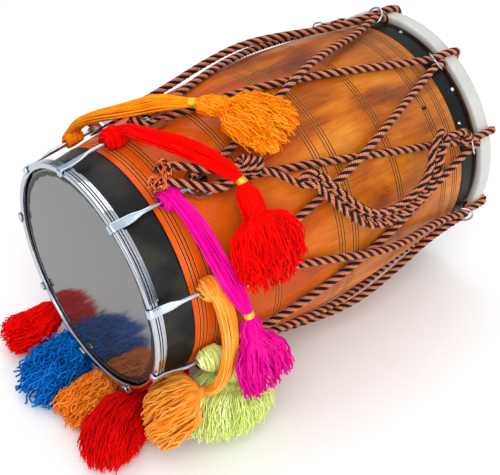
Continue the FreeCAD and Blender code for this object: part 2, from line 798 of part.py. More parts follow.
def makeTie(stations, ups, step):
    # a wound band on the strand just before it widens
    first, width, thick = stations[step - 1]
    second = stations[step][0]
    along = second - first
    along.normalize()
    start = second - along * d.tieLength
    grown = (width + 2 * d.tieThickness, thick + 2 * d.tieThickness)
    return limb([(start,) + grown, (second,) + grown], [ups[step]] * 2)


knotMiddle = d.trebleHoopDepth + d.knotPlace
ties = []
belowFloor = Part.makeBox(4 * d.bellyRadius, 4 * d.bellyRadius, d.bellyRadius,
                          Vector(-2 * d.bellyRadius, -2 * d.bellyRadius, -d.floorDepth - d.bellyRadius))
for place in range(hookCount):
    stations, ups = tasselStations(place)
    tassel = makeKnot()
    tassel.Placement = turnTo(hookAngle(place)).multiply(tassel.Placement)
    tassel = tassel.fuse(limb(stations, ups)).cut(belowFloor)
    ties.append(makeTie(stations, ups, tieSteps[place]).cut(tassel))
    feature(f"tassel_{place + 1}", tassel)
feature("tassel_ties", Part.makeCompound(ties))

# The rope's surplus, crocheted into a chain that lies on the lacing, and its two cut ends

chainRoute = [(232, 139.5), (250, 137.5), (264, 144.5), (281, 152), (300, 158.5), (322, 163), (348, 165),
              (376, 165), (404, 163.5), (428, 161), (443, 157), (452, 152), (470, 148), (492, 147), (514, 148.5)]
chainNarrowShare = 0.86
chainDropShare = 0.1


def makeChain():
    stations = []
    for step, (x, angle) in enumerate(chainRoute):
        swell = 1.0 if step % 2 else chainNarrowShare
        rearDrop = max(0.0, x - d.chainDropPlace) * chainDropShare
        point = onDrum(x, angle, d.bellyRadius + d.chainRise - rearDrop)
        stations.append((point, d.chainWidth * swell, d.chainThickness * swell))
    return limb(stations, [outward(point) for point, width, thick in stations])


feature("rope_chain", makeChain())

ropeEndRoutes = [
    [(98, 112.5, 196.4), (112, 115.5, 197.7), (126, 118.5, 197.9), (138, 121, 198.2)],
    [(78, 116.5, 194.3), (92, 120, 197.3), (106, 123, 199.1), (120, 126, 199.3), (134, 128.5, 199.6)],
]
ends = []
for route in ropeEndRoutes:
    stations = [(onDrum(x, angle, radius), d.ropeDiameter, d.ropeDiameter) for x, angle, radius in route]
    ends.append(limb(stations, [outward(point) for point, width, thick in stations]))
feature("rope_ends", Part.makeCompound(ends))

doc.recompute()
failed = []
for obj in doc.Objects:
    if "Invalid" in obj.State or "Error" in obj.State:
        failed.append(obj.Name)
shapes = {}
for obj in nodes:
    shape = Part.getShape(obj)
    shapes[obj.Label] = shape
    if shape.isNull() or not shape.isValid():
        failed.append(obj.Label)
if failed:
    raise RuntimeError("not built: " + ", ".join(failed))

os.makedirs("parts", exist_ok=True)
for label, shape in shapes.items():
    shape.exportStep(f"parts/{label}.step")
print(len(shapes), "nodes written")
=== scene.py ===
import bpy
import math
import numpy as np
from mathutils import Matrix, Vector


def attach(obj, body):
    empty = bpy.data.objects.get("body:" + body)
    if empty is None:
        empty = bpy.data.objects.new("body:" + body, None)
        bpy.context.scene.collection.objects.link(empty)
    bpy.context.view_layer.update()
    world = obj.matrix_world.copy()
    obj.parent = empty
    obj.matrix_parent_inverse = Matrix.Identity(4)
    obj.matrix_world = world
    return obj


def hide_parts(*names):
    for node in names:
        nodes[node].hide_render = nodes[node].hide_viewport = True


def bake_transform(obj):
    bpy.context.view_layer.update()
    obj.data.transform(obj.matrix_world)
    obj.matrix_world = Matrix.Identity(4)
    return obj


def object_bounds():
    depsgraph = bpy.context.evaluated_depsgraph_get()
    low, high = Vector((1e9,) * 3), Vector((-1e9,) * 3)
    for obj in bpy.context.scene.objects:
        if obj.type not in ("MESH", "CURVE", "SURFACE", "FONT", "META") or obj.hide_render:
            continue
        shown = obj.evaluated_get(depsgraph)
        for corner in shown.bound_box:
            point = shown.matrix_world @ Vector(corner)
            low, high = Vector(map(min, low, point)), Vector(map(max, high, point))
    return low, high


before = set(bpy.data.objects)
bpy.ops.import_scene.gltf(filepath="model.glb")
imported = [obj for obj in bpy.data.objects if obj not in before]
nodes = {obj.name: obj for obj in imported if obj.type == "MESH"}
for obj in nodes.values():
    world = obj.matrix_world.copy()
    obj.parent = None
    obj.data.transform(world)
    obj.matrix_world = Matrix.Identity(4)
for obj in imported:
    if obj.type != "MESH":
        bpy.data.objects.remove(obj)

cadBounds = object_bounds()
mm = 0.001

# The drum lies on its side: +X from the treble head to the bass head, +Z up, angles from +Y towards +Z.
drum = {
    "length": 592.0,
    "trebleShellRadius": 151.5,
    "bellyRadius": 187.8,
    "bassShellRadius": 169.0,
    "bellyPlace": 320.0,
    "bevelStart": 558.0,
    "bevelLength": 28.0,
    "bevelDepth": 11.5,
    "groovePitch": 4.6,
    "grooveHalf": 0.75,
    "grooveHighlightHalf": 1.3,
    "hookCount": 9,
    "firstHookAngle": 121.5,
    "firstRingAngle": 119.0,
    "rodHeight": 170.0,
    "rodTilt": 4.86,
    "hoopDepth": 14.0,
}
floorLevel = cadBounds[0][2] / mm - 0.2
hookStep = 360.0 / drum["hookCount"]
grooveGroupShares = [0.1233, 0.1588, 0.3108, 0.4865, 0.527, 0.679, 0.8328, 0.8767]


# Colours and nodes

def linear(code):
    # sRGB hex to linear colour: a straight line near black, then a power of 2.4
    parts = [int(code[i:i + 2], 16) / 255 for i in (1, 3, 5)]
    return [c / 12.92 if c <= 0.04045 else ((c + 0.055) / 1.055) ** 2.4 for c in parts] + [1.0]


def addNode(material, kind, inputs=None, stops=(), **settings):
    # one node with its settings, colour stops and links; a node as an input means its first output in use
    node = material.node_tree.nodes.new("ShaderNode" + kind)
    for name, value in settings.items():
        setattr(node, name, value)
    for place, (position, colour) in enumerate(stops):
        if place > 1:
            node.color_ramp.elements.new(position)
        node.color_ramp.elements[place].position = position
        node.color_ramp.elements[place].color = linear(colour) if isinstance(colour, str) else colour
    for name, value in (inputs or {}).items():
        if isinstance(value, bpy.types.Node):
            value = next(output for output in value.outputs if output.enabled)
        if isinstance(value, bpy.types.NodeSocket):
            material.node_tree.links.new(value, node.inputs[name])
        else:
            node.inputs[name].default_value = linear(value) if isinstance(value, str) else value
    return node


def newMaterial(name):
    # a material with no nodes yet
    material = bpy.data.materials.new(name)
    material.use_nodes = True
    material.node_tree.nodes.clear()
    return material


def finishMaterial(material, inputs):
    # the shader with its values and links, joined to the material's surface
    shader = addNode(material, "BsdfPrincipled", inputs)
    addNode(material, "OutputMaterial", {"Surface": shader})
    return material


# Meshes

def addMesh(name, vertices, faces, materials, body="root", uv=None, faceMaterial=None, stands=()):
    # vertices in mm as (n, 3), faces as (m, 4) indices, uv as one pair for each vertex
    mesh = bpy.data.meshes.new(name)
    vertices = np.asarray(vertices, dtype=np.float32).reshape(-1, 3) * mm
    faces = np.asarray(faces, dtype=np.int32).reshape(-1, 4)
    mesh.vertices.add(len(vertices))
    mesh.vertices.foreach_set("co", vertices.ravel())
    mesh.loops.add(faces.size)
    mesh.loops.foreach_set("vertex_index", faces.ravel())
    mesh.polygons.add(len(faces))
    mesh.polygons.foreach_set("loop_start", np.arange(0, faces.size, 4, dtype=np.int32))
    mesh.polygons.foreach_set("use_smooth", np.ones(len(faces), dtype=bool))
    if faceMaterial is not None:
        mesh.polygons.foreach_set("material_index", np.asarray(faceMaterial, dtype=np.int32))
    for material in materials:
        mesh.materials.append(material)
    if uv is not None:
        layer = mesh.uv_layers.new(name="UVMap")
        layer.data.foreach_set("uv", np.asarray(uv, dtype=np.float32)[faces.ravel()].ravel())
    mesh.update(calc_edges=True)
    mesh.validate()
    piece = bpy.data.objects.new(name, mesh)
    bpy.context.scene.collection.objects.link(piece)
    if body:
        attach(piece, body)
    if stands:
        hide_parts(*stands)
    return piece


def gridFaces(rows, columns, closedRows=False):
    # quads over a grid of rows by columns, closed round the columns
    r = np.arange(rows if closedRows else rows - 1)
    r, c = np.meshgrid(r, np.arange(columns), indexing="ij")
    nextR = (r + 1) % rows
    nextC = (c + 1) % columns
    corners = (r * columns + c, r * columns + nextC, nextR * columns + nextC, nextR * columns + c)
    return np.stack(corners, axis=-1).reshape(-1, 4)


def readRows(at, values):
    # the columns of a table read between its rows
    rows = np.arange(len(values))
    return np.stack([np.interp(at, rows, column) for column in values.T], axis=-1)


def unit(v):
    # vectors divided by their length
    return v / np.maximum(np.linalg.norm(v, axis=-1, keepdims=True), 1e-9)


def carriedFrames(paths):
    # tangents, and normals carried along each path without twist
    tangents = unit(np.gradient(paths, axis=1))
    helper = np.where(np.abs(tangents[:, 0, 2:3]) < 0.8, [[0.0, 0.0, 1.0]], [[0.0, 1.0, 0.0]])
    normals = np.empty_like(paths)
    current = unit(np.cross(tangents[:, 0], helper))
    for step in range(paths.shape[1]):
        t = tangents[:, step]
        current = unit(current - t * np.sum(current * t, axis=-1, keepdims=True))
        normals[:, step] = current
    return tangents, normals, np.cross(tangents, normals)


capLengthShare, capWidthShare = 0.3, 0.25  # of a tube's radius at its end


def tubes(paths, radius, sides):
    # round tubes along many paths, of one radius or a radius for each step; they narrow at both ends
    paths = np.asarray(paths, dtype=float)
    count, steps = paths.shape[:2]
    tangents, normals, binormals = carriedFrames(paths)
    radii = np.broadcast_to(np.asarray(radius, dtype=float), (count, steps)).copy()
    firstCap = paths[:, :1] - tangents[:, :1] * radii[:, :1, None] * capLengthShare
    lastCap = paths[:, -1:] + tangents[:, -1:] * radii[:, -1:, None] * capLengthShare
    turn = 2 * np.pi * np.arange(sides) / sides
    ring = (normals[:, :, None] * np.cos(turn)[:, None] + binormals[:, :, None] * np.sin(turn)[:, None])
    body = paths[:, :, None] + ring * radii[:, :, None, None]
    first = firstCap[:, :, None] + ring[:, :1] * radii[:, :1, None, None] * capWidthShare
    last = lastCap[:, :, None] + ring[:, -1:] * radii[:, -1:, None, None] * capWidthShare
    vertices = np.concatenate([first, body, last], axis=1)
    rows = steps + 2
    lengths = np.linalg.norm(np.diff(paths, axis=1), axis=-1)
    along = np.concatenate([np.zeros((count, 1)), np.cumsum(lengths, axis=1)], axis=1)
    along = np.concatenate([along[:, :1], along, along[:, -1:]], axis=1)
    quads = gridFaces(rows, sides)
    faces = (quads[None] + (np.arange(count) * rows * sides)[:, None, None]).reshape(-1, 4)
    share = np.broadcast_to(np.arange(count)[:, None, None] / max(1, count), (count, rows, sides))
    uv = np.stack([share, np.broadcast_to(along[:, :, None], (count, rows, sides)) * mm], axis=-1)
    return vertices.reshape(-1, 3), faces, uv.reshape(-1, 2), quads.shape[0]


# The barrel's outline and its own directions

def barrelRadius(x):
    # the drop from the belly grows with the distance from it to the power of one and a half
    x = np.asarray(x, dtype=float)
    front = np.clip((drum["bellyPlace"] - x) / drum["bellyPlace"], 0, None)
    rear = np.clip((x - drum["bellyPlace"]) / (drum["length"] - drum["bellyPlace"]), 0, None)
    drop = (drum["bellyRadius"] - drum["trebleShellRadius"]) * front ** 1.5
    drop += (drum["bellyRadius"] - drum["bassShellRadius"]) * rear ** 1.5
    bevel = np.clip((x - drum["bevelStart"]) / drum["bevelLength"], 0, None) * drum["bevelDepth"]
    return drum["bellyRadius"] - drop - bevel


def onDrum(x, angle, radius):
    # points at a place along the drum, an angle round it and a radius from its axis
    turn = np.radians(angle)
    x, turn, radius = np.broadcast_arrays(x, turn, radius)
    return np.stack([x, radius * np.cos(turn), radius * np.sin(turn)], axis=-1).astype(float)


def hookAngle(place):
    # hooks stand at equal steps round the hoop
    return drum["firstHookAngle"] + hookStep * place


def ringAngle(place):
    # the laced head has turned a little against the hoop
    return drum["firstRingAngle"] + hookStep * place


def beside(angle, x, aside, radius):
    # a point near a hook's or ring's angle, aside counted towards lower angles
    turn = math.radians(angle - 90)
    y = aside * math.cos(turn) - radius * math.sin(turn)
    z = aside * math.sin(turn) + radius * math.cos(turn)
    return (x, y, z)


def rodRadius(x):
    # the rods rise in a straight line from the front hoop
    return drum["rodHeight"] + (x - drum["hoopDepth"]) * math.tan(math.radians(drum["rodTilt"]))


def unevenWave(angle, along, waves):
    # the sum of sine waves, each with a share, a count round the drum and a slant in radians per mm along it
    return sum(share * np.sin(count * angle + slant * along) for share, count, slant in waves)


def bodyName(kind, place):
    # the frame counts its hooks and rings from one
    return f"{kind}_{place % drum['hookCount'] + 1}"


# Materials

black, white = (0, 0, 0, 1), (1, 1, 1, 1)  # ends of a mask


def varnishedWood():
    # turned hardwood stained orange under clear gloss varnish: grain runs along the barrel
    material = newMaterial("varnishedTurnedWood")
    place = addNode(material, "TexCoord").outputs["Object"]
    grain = []
    for stretch, values in (
        ((1.0, 2.2, 2.2), {"Scale": 5.0, "Detail": 4.0, "Distortion": 1.2}),  # broad streaks
        ((4.0, 80.0, 80.0), {"Scale": 3.2, "Detail": 6.0, "Roughness": 0.6}),  # fine fibres
        ((60.0, 700.0, 700.0), {"Scale": 1.0, "Detail": 2.0}),  # pores, about 1.5 mm wide
    ):
        stretched = addNode(material, "Mapping", {"Vector": place, "Scale": stretch})
        grain.append(addNode(material, "TexNoise", {"Vector": stretched, **values}))
    streaks, fibres, pores = grain
    broadTone = addNode(material, "Math", {0: streaks, 1: 0.78}, operation="MULTIPLY")
    tone = addNode(material, "Math", {0: fibres, 1: 0.22, 2: broadTone}, operation="MULTIPLY_ADD")
    base = addNode(material, "ValToRGB", {"Fac": tone}, [
        (0.35, "#6E3216"), (0.43, "#924414"), (0.51, "#B45C10"), (0.60, "#C8741C"), (0.72, "#DC9638")])
    along = addNode(material, "SeparateXYZ", {"Vector": place}).outputs["X"]
    for start, end, most, colour in ((0.32, 0.08, 0.85, "#E65402"), (0.40, 0.56, 0.35, "#C98A48")):
        # the stain is redder towards the front and paler towards the rear
        span = addNode(material, "MapRange", {0: along, 1: start, 2: end})
        share = addNode(material, "Math", {0: span, 1: most}, operation="MULTIPLY")
        base = addNode(material, "Mix", {0: share, 6: base, 7: colour}, data_type="RGBA")
    dashes = addNode(material, "ValToRGB", {"Fac": pores}, [(0.30, (0.5, 0.5, 0.5, 1)), (0.42, white)])
    base = addNode(material, "Mix", {0: 0.4, 6: base, 7: dashes}, data_type="RGBA", blend_type="MULTIPLY")
    # groove marks the dark groove lines; rim marks a wider band round each line, where a paler colour is
    # painted as the highlight on the groove's edges
    groove, rim = 0.0, 0.0
    for share in grooveGroupShares:
        for step in (-1, 0, 1):
            at = (drum["length"] * share + step * drum["groovePitch"]) * mm
            inGroove, inGrooveHighlight = (
                addNode(material, "Math", {0: along, 1: at, 2: drum[half] * mm}, operation="COMPARE")
                for half in ("grooveHalf", "grooveHighlightHalf"))
            groove = addNode(material, "Math", {0: inGroove, 1: groove}, operation="MAXIMUM")
            rim = addNode(material, "Math", {0: inGrooveHighlight, 1: rim}, operation="MAXIMUM")
    # painted highlight: half of a pale orange laid on the edges of each groove
    grooveHighlightShare = addNode(material, "Math", {0: rim, 1: 0.5}, operation="MULTIPLY")
    base = addNode(material, "Mix", {0: grooveHighlightShare, 6: base, 7: "#F09A4A"}, data_type="RGBA")
    base = addNode(material, "Mix", {0: groove, 6: base, 7: "#210B04"}, data_type="RGBA")
    bump = addNode(material, "Bump", {"Height": fibres, "Strength": 0.04, "Distance": 0.002})
    return finishMaterial(material, {
        "Base Color": base, "Normal": bump, "Roughness": 0.42, "Coat Weight": 0.17, "Coat Roughness": 0.04,
        "Specular IOR Level": 0.08})


def platedSteel(name, code, roughness):
    # steel under bright plating: only faint smears show in the gloss
    material = newMaterial(name)
    place = addNode(material, "TexCoord").outputs["Object"]
    smear = addNode(material, "TexNoise", {"Vector": place, "Scale": 40.0, "Detail": 4.0})
    gloss = addNode(material, "MapRange", {0: smear, 1: 0.3, 2: 0.7, 3: roughness * 1.4, 4: roughness * 0.7})
    return finishMaterial(material, {"Base Color": code, "Metallic": 1.0, "Roughness": gloss})


def smokyFilm():
    # pressed smoky polyester film: dark, smooth, with a fine pebble, mirrors what stands before it; pale
    # specks painted into its colour stand in for the pebble's glints
    material = newMaterial("smokyPolyesterFilm")
    place = addNode(material, "TexCoord").outputs["Object"]
    cloud = addNode(material, "TexNoise", {"Vector": place, "Scale": 9.0, "Detail": 6.0, "Roughness": 0.6})
    pebbleAndGlintSpeck = addNode(material, "TexNoise", {"Vector": place, "Scale": 380.0, "Detail": 3.0})
    base = addNode(material, "ValToRGB", {"Fac": cloud}, [(0.3, "#161515"), (0.7, "#201E1E")])
    # painted glints: where the fine noise is high, a paler grey is mixed into the dark film; the same noise
    # also makes the pebble's bump
    grain = addNode(material, "ValToRGB", {"Fac": pebbleAndGlintSpeck}, [(0.44, black), (0.6, white)])
    base = addNode(material, "Mix", {0: grain, 6: base, 7: "#4C4847"}, data_type="RGBA")
    pebble = addNode(material, "Math", {0: pebbleAndGlintSpeck, 1: 0.3, 2: cloud}, operation="MULTIPLY_ADD")
    bump = addNode(material, "Bump", {"Height": pebble, "Strength": 0.05, "Distance": 0.003})
    return finishMaterial(material, {"Base Color": base, "Normal": bump, "Roughness": 0.06, "IOR": 2.25})


def blackVinyl(name, meshPitch, roughness):
    # calendered black vinyl, with a fine woven emboss that has worn in patches when a pitch is given
    material = newMaterial(name)
    place = addNode(material, "TexCoord").outputs["Object"]
    soft = addNode(material, "TexNoise", {"Vector": place, "Scale": 18.0, "Detail": 6.0})
    base = addNode(material, "ValToRGB", {"Fac": soft}, [(0.35, "#08080A"), (0.7, "#151618")])
    bump = {"Height": soft, "Strength": 0.2, "Distance": 0.002}
    if meshPitch:
        uv = addNode(material, "TexCoord").outputs["UV"]
        scaled = addNode(material, "Mapping", {"Vector": uv, "Scale": (1 / meshPitch, 1 / meshPitch, 1)})
        weave = addNode(material, "TexVoronoi", {"Vector": scaled, "Scale": 1.0, "Randomness": 0.1})
        threads = addNode(material, "ValToRGB", {"Fac": weave}, [(0.18, "#5C5A48"), (0.36, "#0A0A0B")])
        patches = addNode(material, "TexNoise", {"Vector": place, "Scale": 13.0, "Detail": 2.0})
        worn = addNode(material, "ValToRGB", {"Fac": patches}, [(0.5, black), (0.62, (0.8, 0.8, 0.8, 1))])
        base = addNode(material, "Mix", {0: worn, 6: base, 7: threads}, data_type="RGBA")
        bump = {"Height": weave, "Strength": 0.3, "Distance": 0.0004}
    return finishMaterial(material, {
        "Base Color": base, "Normal": addNode(material, "Bump", bump), "Roughness": roughness,
        "Specular IOR Level": 0.2})


def whiteSkin():
    # limed goat hide stretched wet over cane: white with cream patches, faintly creased round the hoop
    material = newMaterial("limedHide")
    place = addNode(material, "TexCoord").outputs["Object"]
    blotch = addNode(material, "TexNoise", {"Vector": place, "Scale": 8.0, "Detail": 6.0, "Roughness": 0.6})
    base = addNode(material, "ValToRGB", {"Fac": blotch}, [
        (0.34, "#A29D8E"), (0.44, "#BAB9B3"), (0.58, "#C6C6C3"), (0.7, "#CCC294")])
    crease = addNode(material, "TexNoise", {"Vector": place, "Scale": 60.0, "Detail": 5.0})
    bump = addNode(material, "Bump", {"Height": crease, "Strength": 0.3, "Distance": 0.0015})
    return finishMaterial(material, {
        "Base Color": base, "Normal": bump, "Roughness": 0.45, "Subsurface Weight": 0.06,
        "Subsurface Scale": 0.004})


def ropeYarn(name, dark, light, sheen):
    # soft acrylic rope strand: fine plies slant across the strand; the colour is painted lighter on each
    # ply's crown as a painted highlight and darker between the plies as painted shade, with fine fuzz noise
    # over it
    material = newMaterial(name)
    coordinates = addNode(material, "TexCoord")
    place, uv = coordinates.outputs["Object"], coordinates.outputs["UV"]
    waves = {"Vector": uv, "Scale": 1.0, "Distortion": 1.0, "Detail": 2.0, "Detail Scale": 1.5}
    plies = addNode(material, "TexWave", waves, wave_type="BANDS", bands_direction="DIAGONAL").outputs["Fac"]
    fuzz = addNode(material, "TexNoise", {"Vector": place, "Scale": 480.0, "Detail": 3.0})
    tone = addNode(material, "Math", {0: plies, 1: fuzz}, operation="MULTIPLY")
    # painted shade and highlight: the first colour is the shade between plies, the second the highlight on
    # their crowns
    base = addNode(material, "ValToRGB", {"Fac": tone}, [(0.05, dark), (0.4, light)])
    bump = addNode(material, "Bump", {"Height": plies, "Strength": 0.6, "Distance": 0.0006})
    return finishMaterial(material, {
        "Base Color": base, "Normal": bump, "Roughness": 0.85, "Sheen Weight": sheen, "Sheen Roughness": 0.5,
        "Specular IOR Level": 0.2})


def tasselYarn(name, stops):
    # loose two-ply acrylic yarn: each thread has its own tone, lighter where the light catches its nap
    material = newMaterial(name)
    coordinates = addNode(material, "TexCoord")
    place, uv = coordinates.outputs["Object"], coordinates.outputs["UV"]
    split = addNode(material, "SeparateXYZ", {"Vector": uv})
    own = addNode(material, "TexWhiteNoise", {"W": split.outputs["X"]}, noise_dimensions="1D")
    patch = addNode(material, "TexNoise", {"Vector": place, "Scale": 42.0, "Detail": 3.0})
    ownTone = addNode(material, "Math", {0: own, 1: 0.5}, operation="MULTIPLY")
    tone = addNode(material, "Math", {0: patch, 1: 0.5, 2: ownTone}, operation="MULTIPLY_ADD")
    base = addNode(material, "ValToRGB", {"Fac": tone}, stops)
    plyTurns = 2200.0  # radians in a metre, which is one ply in 2.9 mm
    turn = addNode(material, "Math", {0: split.outputs["Y"], 1: plyTurns}, operation="MULTIPLY")
    ply = addNode(material, "Math", {0: turn}, operation="SINE")
    bump = addNode(material, "Bump", {"Height": ply, "Strength": 0.35, "Distance": 0.0004})
    return finishMaterial(material, {
        "Base Color": base, "Normal": bump, "Roughness": 0.9, "Sheen Weight": 0.02, "Sheen Roughness": 0.5,
        "Specular IOR Level": 0.03})


def plainFinish(name, code, metallic, roughness):
    # one colour, for thread too thin to show a pattern and for what is hidden inside the drum
    values = {"Base Color": code, "Metallic": metallic, "Roughness": roughness}
    return finishMaterial(newMaterial(name), values)


woodFinish = varnishedWood()
hoopChrome = platedSteel("chromedRolledSteel", "#BCC0C8", 0.07)
hookZinc = platedSteel("brightZincSteel", "#BCC8D4", 0.22)
grooveSteel = platedSteel("tarnishedSteel", "#2E2E33", 0.3)
filmFinish = smokyFilm()
frontVinyl = blackVinyl("embossedBlackVinyl", 0.0023, 0.42)  # threads 2.3 mm apart, coarse enough to show
rearVinyl = blackVinyl("plainBlackVinyl", 0, 0.45)
borderVinyl = blackVinyl("wrinkledBlackVinyl", 0, 0.3)
skinFinish = whiteSkin()
# each strand's two colours: its painted shade between plies and its painted highlight on the plies' crowns
ropeBlack = ropeYarn("blackRopeStrand", "#030303", "#191614", 0.08)
ropeSalmon = ropeYarn("salmonRopeStrand", "#A2441F", "#E8906A", 0.12)
orangeFibre = ropeYarn("orangeRopeFibre", "#D8480C", "#FF8A3C", 0.15)
goldThread = plainFinish("goldMetallicThread", "#F0C42C", 0.55, 0.32)
pasteFinish = plainFinish("driedTuningPaste", "#1B1410", 0.0, 0.8)
caneFinish = plainFinish("rawCane", "#C9A66A", 0.0, 0.6)

finishes = {
    "shell": woodFinish,
    "treble_hoop": hoopChrome,
    "treble_head": filmFinish,
    "treble_flesh_ring": hoopChrome,
    "bass_hoop": caneFinish,
    "bass_head": skinFinish,
    "bass_paste": pasteFinish,
    "band_nails": hoopChrome,
}
hardware = {"hook": hookZinc, "stirrup": hookZinc, "nut": hoopChrome, "ring": hoopChrome}
for place in range(drum["hookCount"]):
    finishes.update({bodyName(kind, place): material for kind, material in hardware.items()})
for name, material in finishes.items():
    nodes[name].data.materials.clear()
    nodes[name].data.materials.append(material)
print("materials ready")


# The front hoop: rolled steel with a rounded front edge and two tarnished grooves round its face

frontHoop = {"outer": 165.0, "inner": 156.2, "front": 0.2, "rear": 13.8, "bead": 2.0, "chamfer": 1.0,
             "grooveDepth": 1.6, "grooveShare": 0.15, "columns": 400}


def makeFrontHoop():
    # a closed profile turned round the drum's axis: the outer face dips as half a cosine wave at each groove
    outer, inner, front, rear = (frontHoop[key] for key in ("outer", "inner", "front", "rear"))
    bead, chamfer = frontHoop["bead"], frontHoop["chamfer"]
    share = np.linspace(0, 1, 61)
    fromGroove = np.minimum(np.abs(share - 1 / 3), np.abs(share - 2 / 3)) / (frontHoop["grooveShare"] / 2)
    dip = -frontHoop["grooveDepth"] * np.cos(0.5 * np.pi * np.clip(fromGroove, 0, 1))
    faceX = front + bead + (rear - front - 1.5 * bead) * share
    turn = np.linspace(np.pi, 0, 18)
    beadX = front + bead * (1 - np.sin(turn))
    beadRadius = 0.5 * (outer + inner) + 0.5 * (outer - inner) * np.cos(turn)
    x = np.concatenate([beadX, faceX, [rear, rear, rear - chamfer]])
    radius = np.concatenate([beadRadius, outer + dip, [outer - chamfer, inner + chamfer, inner]])
    a = np.linspace(0, 2 * np.pi, frontHoop["columns"], endpoint=False)
    grid = np.stack([
        np.broadcast_to(x[:, None], (len(x), len(a))),
        radius[:, None] * np.cos(a), radius[:, None] * np.sin(a)], axis=-1)
    faces = gridFaces(len(x), len(a), closedRows=True)
    inGroove = np.zeros(len(x), dtype=int)
    inGroove[len(turn):len(turn) + len(share)] = fromGroove < 0.75
    steels = [hoopChrome, grooveSteel]
    darkFaces = np.repeat(inGroove, len(a))
    return addMesh("frontSteelHoop", grid, faces, steels, faceMaterial=darkFaces, stands=["treble_hoop"])


makeFrontHoop()

# The vinyl bands and the wrinkled border strip

bands = {
    "front": {"start": 17.6, "end": 60.0, "lift": 1.0, "wrinkle": 0.35},
    "rear": {"start": 536.0, "end": 573.0, "lift": 1.0, "wrinkle": 0.3},
    "rows": 16,
    "columns": 480,
    "underLift": 0.1,
}
bandWaveShares = [(0.5, 7, 0.08), (0.3, 23, -0.21), (0.2, 51, 0.4)]


def makeBand(name, values, material, node):
    # the barrel's radius plus a lift, with shallow waves; a thin closed skin with turned-in edges
    x = np.linspace(values["start"], values["end"], bands["rows"])
    turn = np.linspace(0, 360, bands["columns"], endpoint=False)
    xs, angles = np.meshgrid(x, turn, indexing="ij")
    a = np.radians(angles)
    wave = unevenWave(a, xs, bandWaveShares)
    top = onDrum(xs, angles, barrelRadius(xs) + values["lift"] + values["wrinkle"] * wave)
    under = onDrum(xs, angles, barrelRadius(xs) + bands["underLift"])
    grid = np.concatenate([under[:1], top, under[::-1]], axis=0)
    arc = a * drum["trebleShellRadius"] * mm
    uvTop = np.stack([arc, xs * mm], axis=-1)
    uv = np.concatenate([uvTop[:1], uvTop, uvTop[::-1]], axis=0).reshape(-1, 2)
    faces = gridFaces(len(grid), bands["columns"])
    return addMesh(name, grid, faces[:, ::-1], [material], uv=uv, stands=[node])


makeBand("frontVinylBand", bands["front"], frontVinyl, "treble_band")
makeBand("rearVinylBand", bands["rear"], rearVinyl, "bass_band")


border = {"outer": 151.2, "width": 6.5, "ragged": 0.7, "place": 5.1, "thickness": 0.05, "height": 0.45,
          "foldHeight": 0.3, "rows": 12, "columns": 1080}


def makeBorder():
    # a flat ring whose height follows many uneven radial folds
    share = np.linspace(0, 1, border["rows"])
    turn = np.linspace(0, 2 * np.pi, border["columns"], endpoint=False)
    s, a = np.meshgrid(share, turn, indexing="ij")
    bent = 0.45 * np.sin(97 * a + 3 * np.sin(5 * a))
    fold = bent + 0.35 * np.sin(163 * a + 2 * s) + 0.2 * np.sin(41 * a - 4 * s)
    radius = border["outer"] - border["width"] * s + border["ragged"] * np.sin(31 * a + np.sin(7 * a)) * s
    height = (border["height"] + border["foldHeight"] * fold) * np.sin(np.pi * s) ** 0.5
    sides = (radius * np.cos(a), radius * np.sin(a))
    top = np.stack([border["place"] - height, *sides], axis=-1)
    under = np.stack([np.full_like(a, border["place"] + border["thickness"]), *sides], axis=-1)
    grid = np.concatenate([top, under[::-1]], axis=0)
    faces = gridFaces(len(grid), border["columns"], closedRows=True)
    return addMesh("wrinkledBorder", grid, faces[:, ::-1], [borderVinyl], stands=["treble_border"])


makeBorder()

# The bass head: hide over its cane hoop, with a lip that laps forward over the black band

bassHead = {"wrinkle": 0.35, "columns": 720, "rollStart": 150.0, "rollWidth": 25.0, "sideways": 0.8}
headWaveShares = [(0.4, 9, 0.1), (0.35, 31, -0.5), (0.25, 67, 0.9)]
# Place and radius in mm: the flat head, the roll round the hoop, the lip and the tuck under it.
headProfile = [
    (587.2, 0), (587.2, 60), (587.2, 120), (587.2, 165), (587.4, 172.5), (588.6, 175.4), (591, 176.6),
    (593, 177.6), (593.6, 178.6), (593, 180), (591.5, 181), (588, 181.3), (583, 181.4), (578, 181.3),
    (574.5, 181.1),
    (572.9, 180.7), (571.9, 179.6), (571.4, 177.6), (571.2, 175), (571.4, 172.4), (572, 170.4), (574, 168.5),
    (578, 165), (583, 161), (586, 157), (586, 80), (586, 0),
]


def makeBassHead():
    # the profile turned round the drum's axis, with a wave on its roll and lip
    x, radius = np.array(headProfile, dtype=float).T
    turn = np.linspace(0, 2 * np.pi, bassHead["columns"], endpoint=False)
    xs, a = np.meshgrid(x, turn, indexing="ij")
    rs = np.broadcast_to(radius[:, None], a.shape)
    onRoll = np.clip((rs - bassHead["rollStart"]) / bassHead["rollWidth"], 0, 1)
    wave = unevenWave(a, xs, headWaveShares)
    rs = rs + bassHead["wrinkle"] * wave * onRoll
    xs = xs + bassHead["sideways"] * bassHead["wrinkle"] * np.roll(wave, 40, axis=1) * onRoll
    grid = np.stack([xs, rs * np.cos(a), rs * np.sin(a)], axis=-1)
    faces = gridFaces(len(x), bassHead["columns"])
    return addMesh("bassHide", grid, faces[:, ::-1], [skinFinish], stands=["bass_head"])


makeBassHead()

# The hooks: a flat claw over the hoop that narrows into a round rod

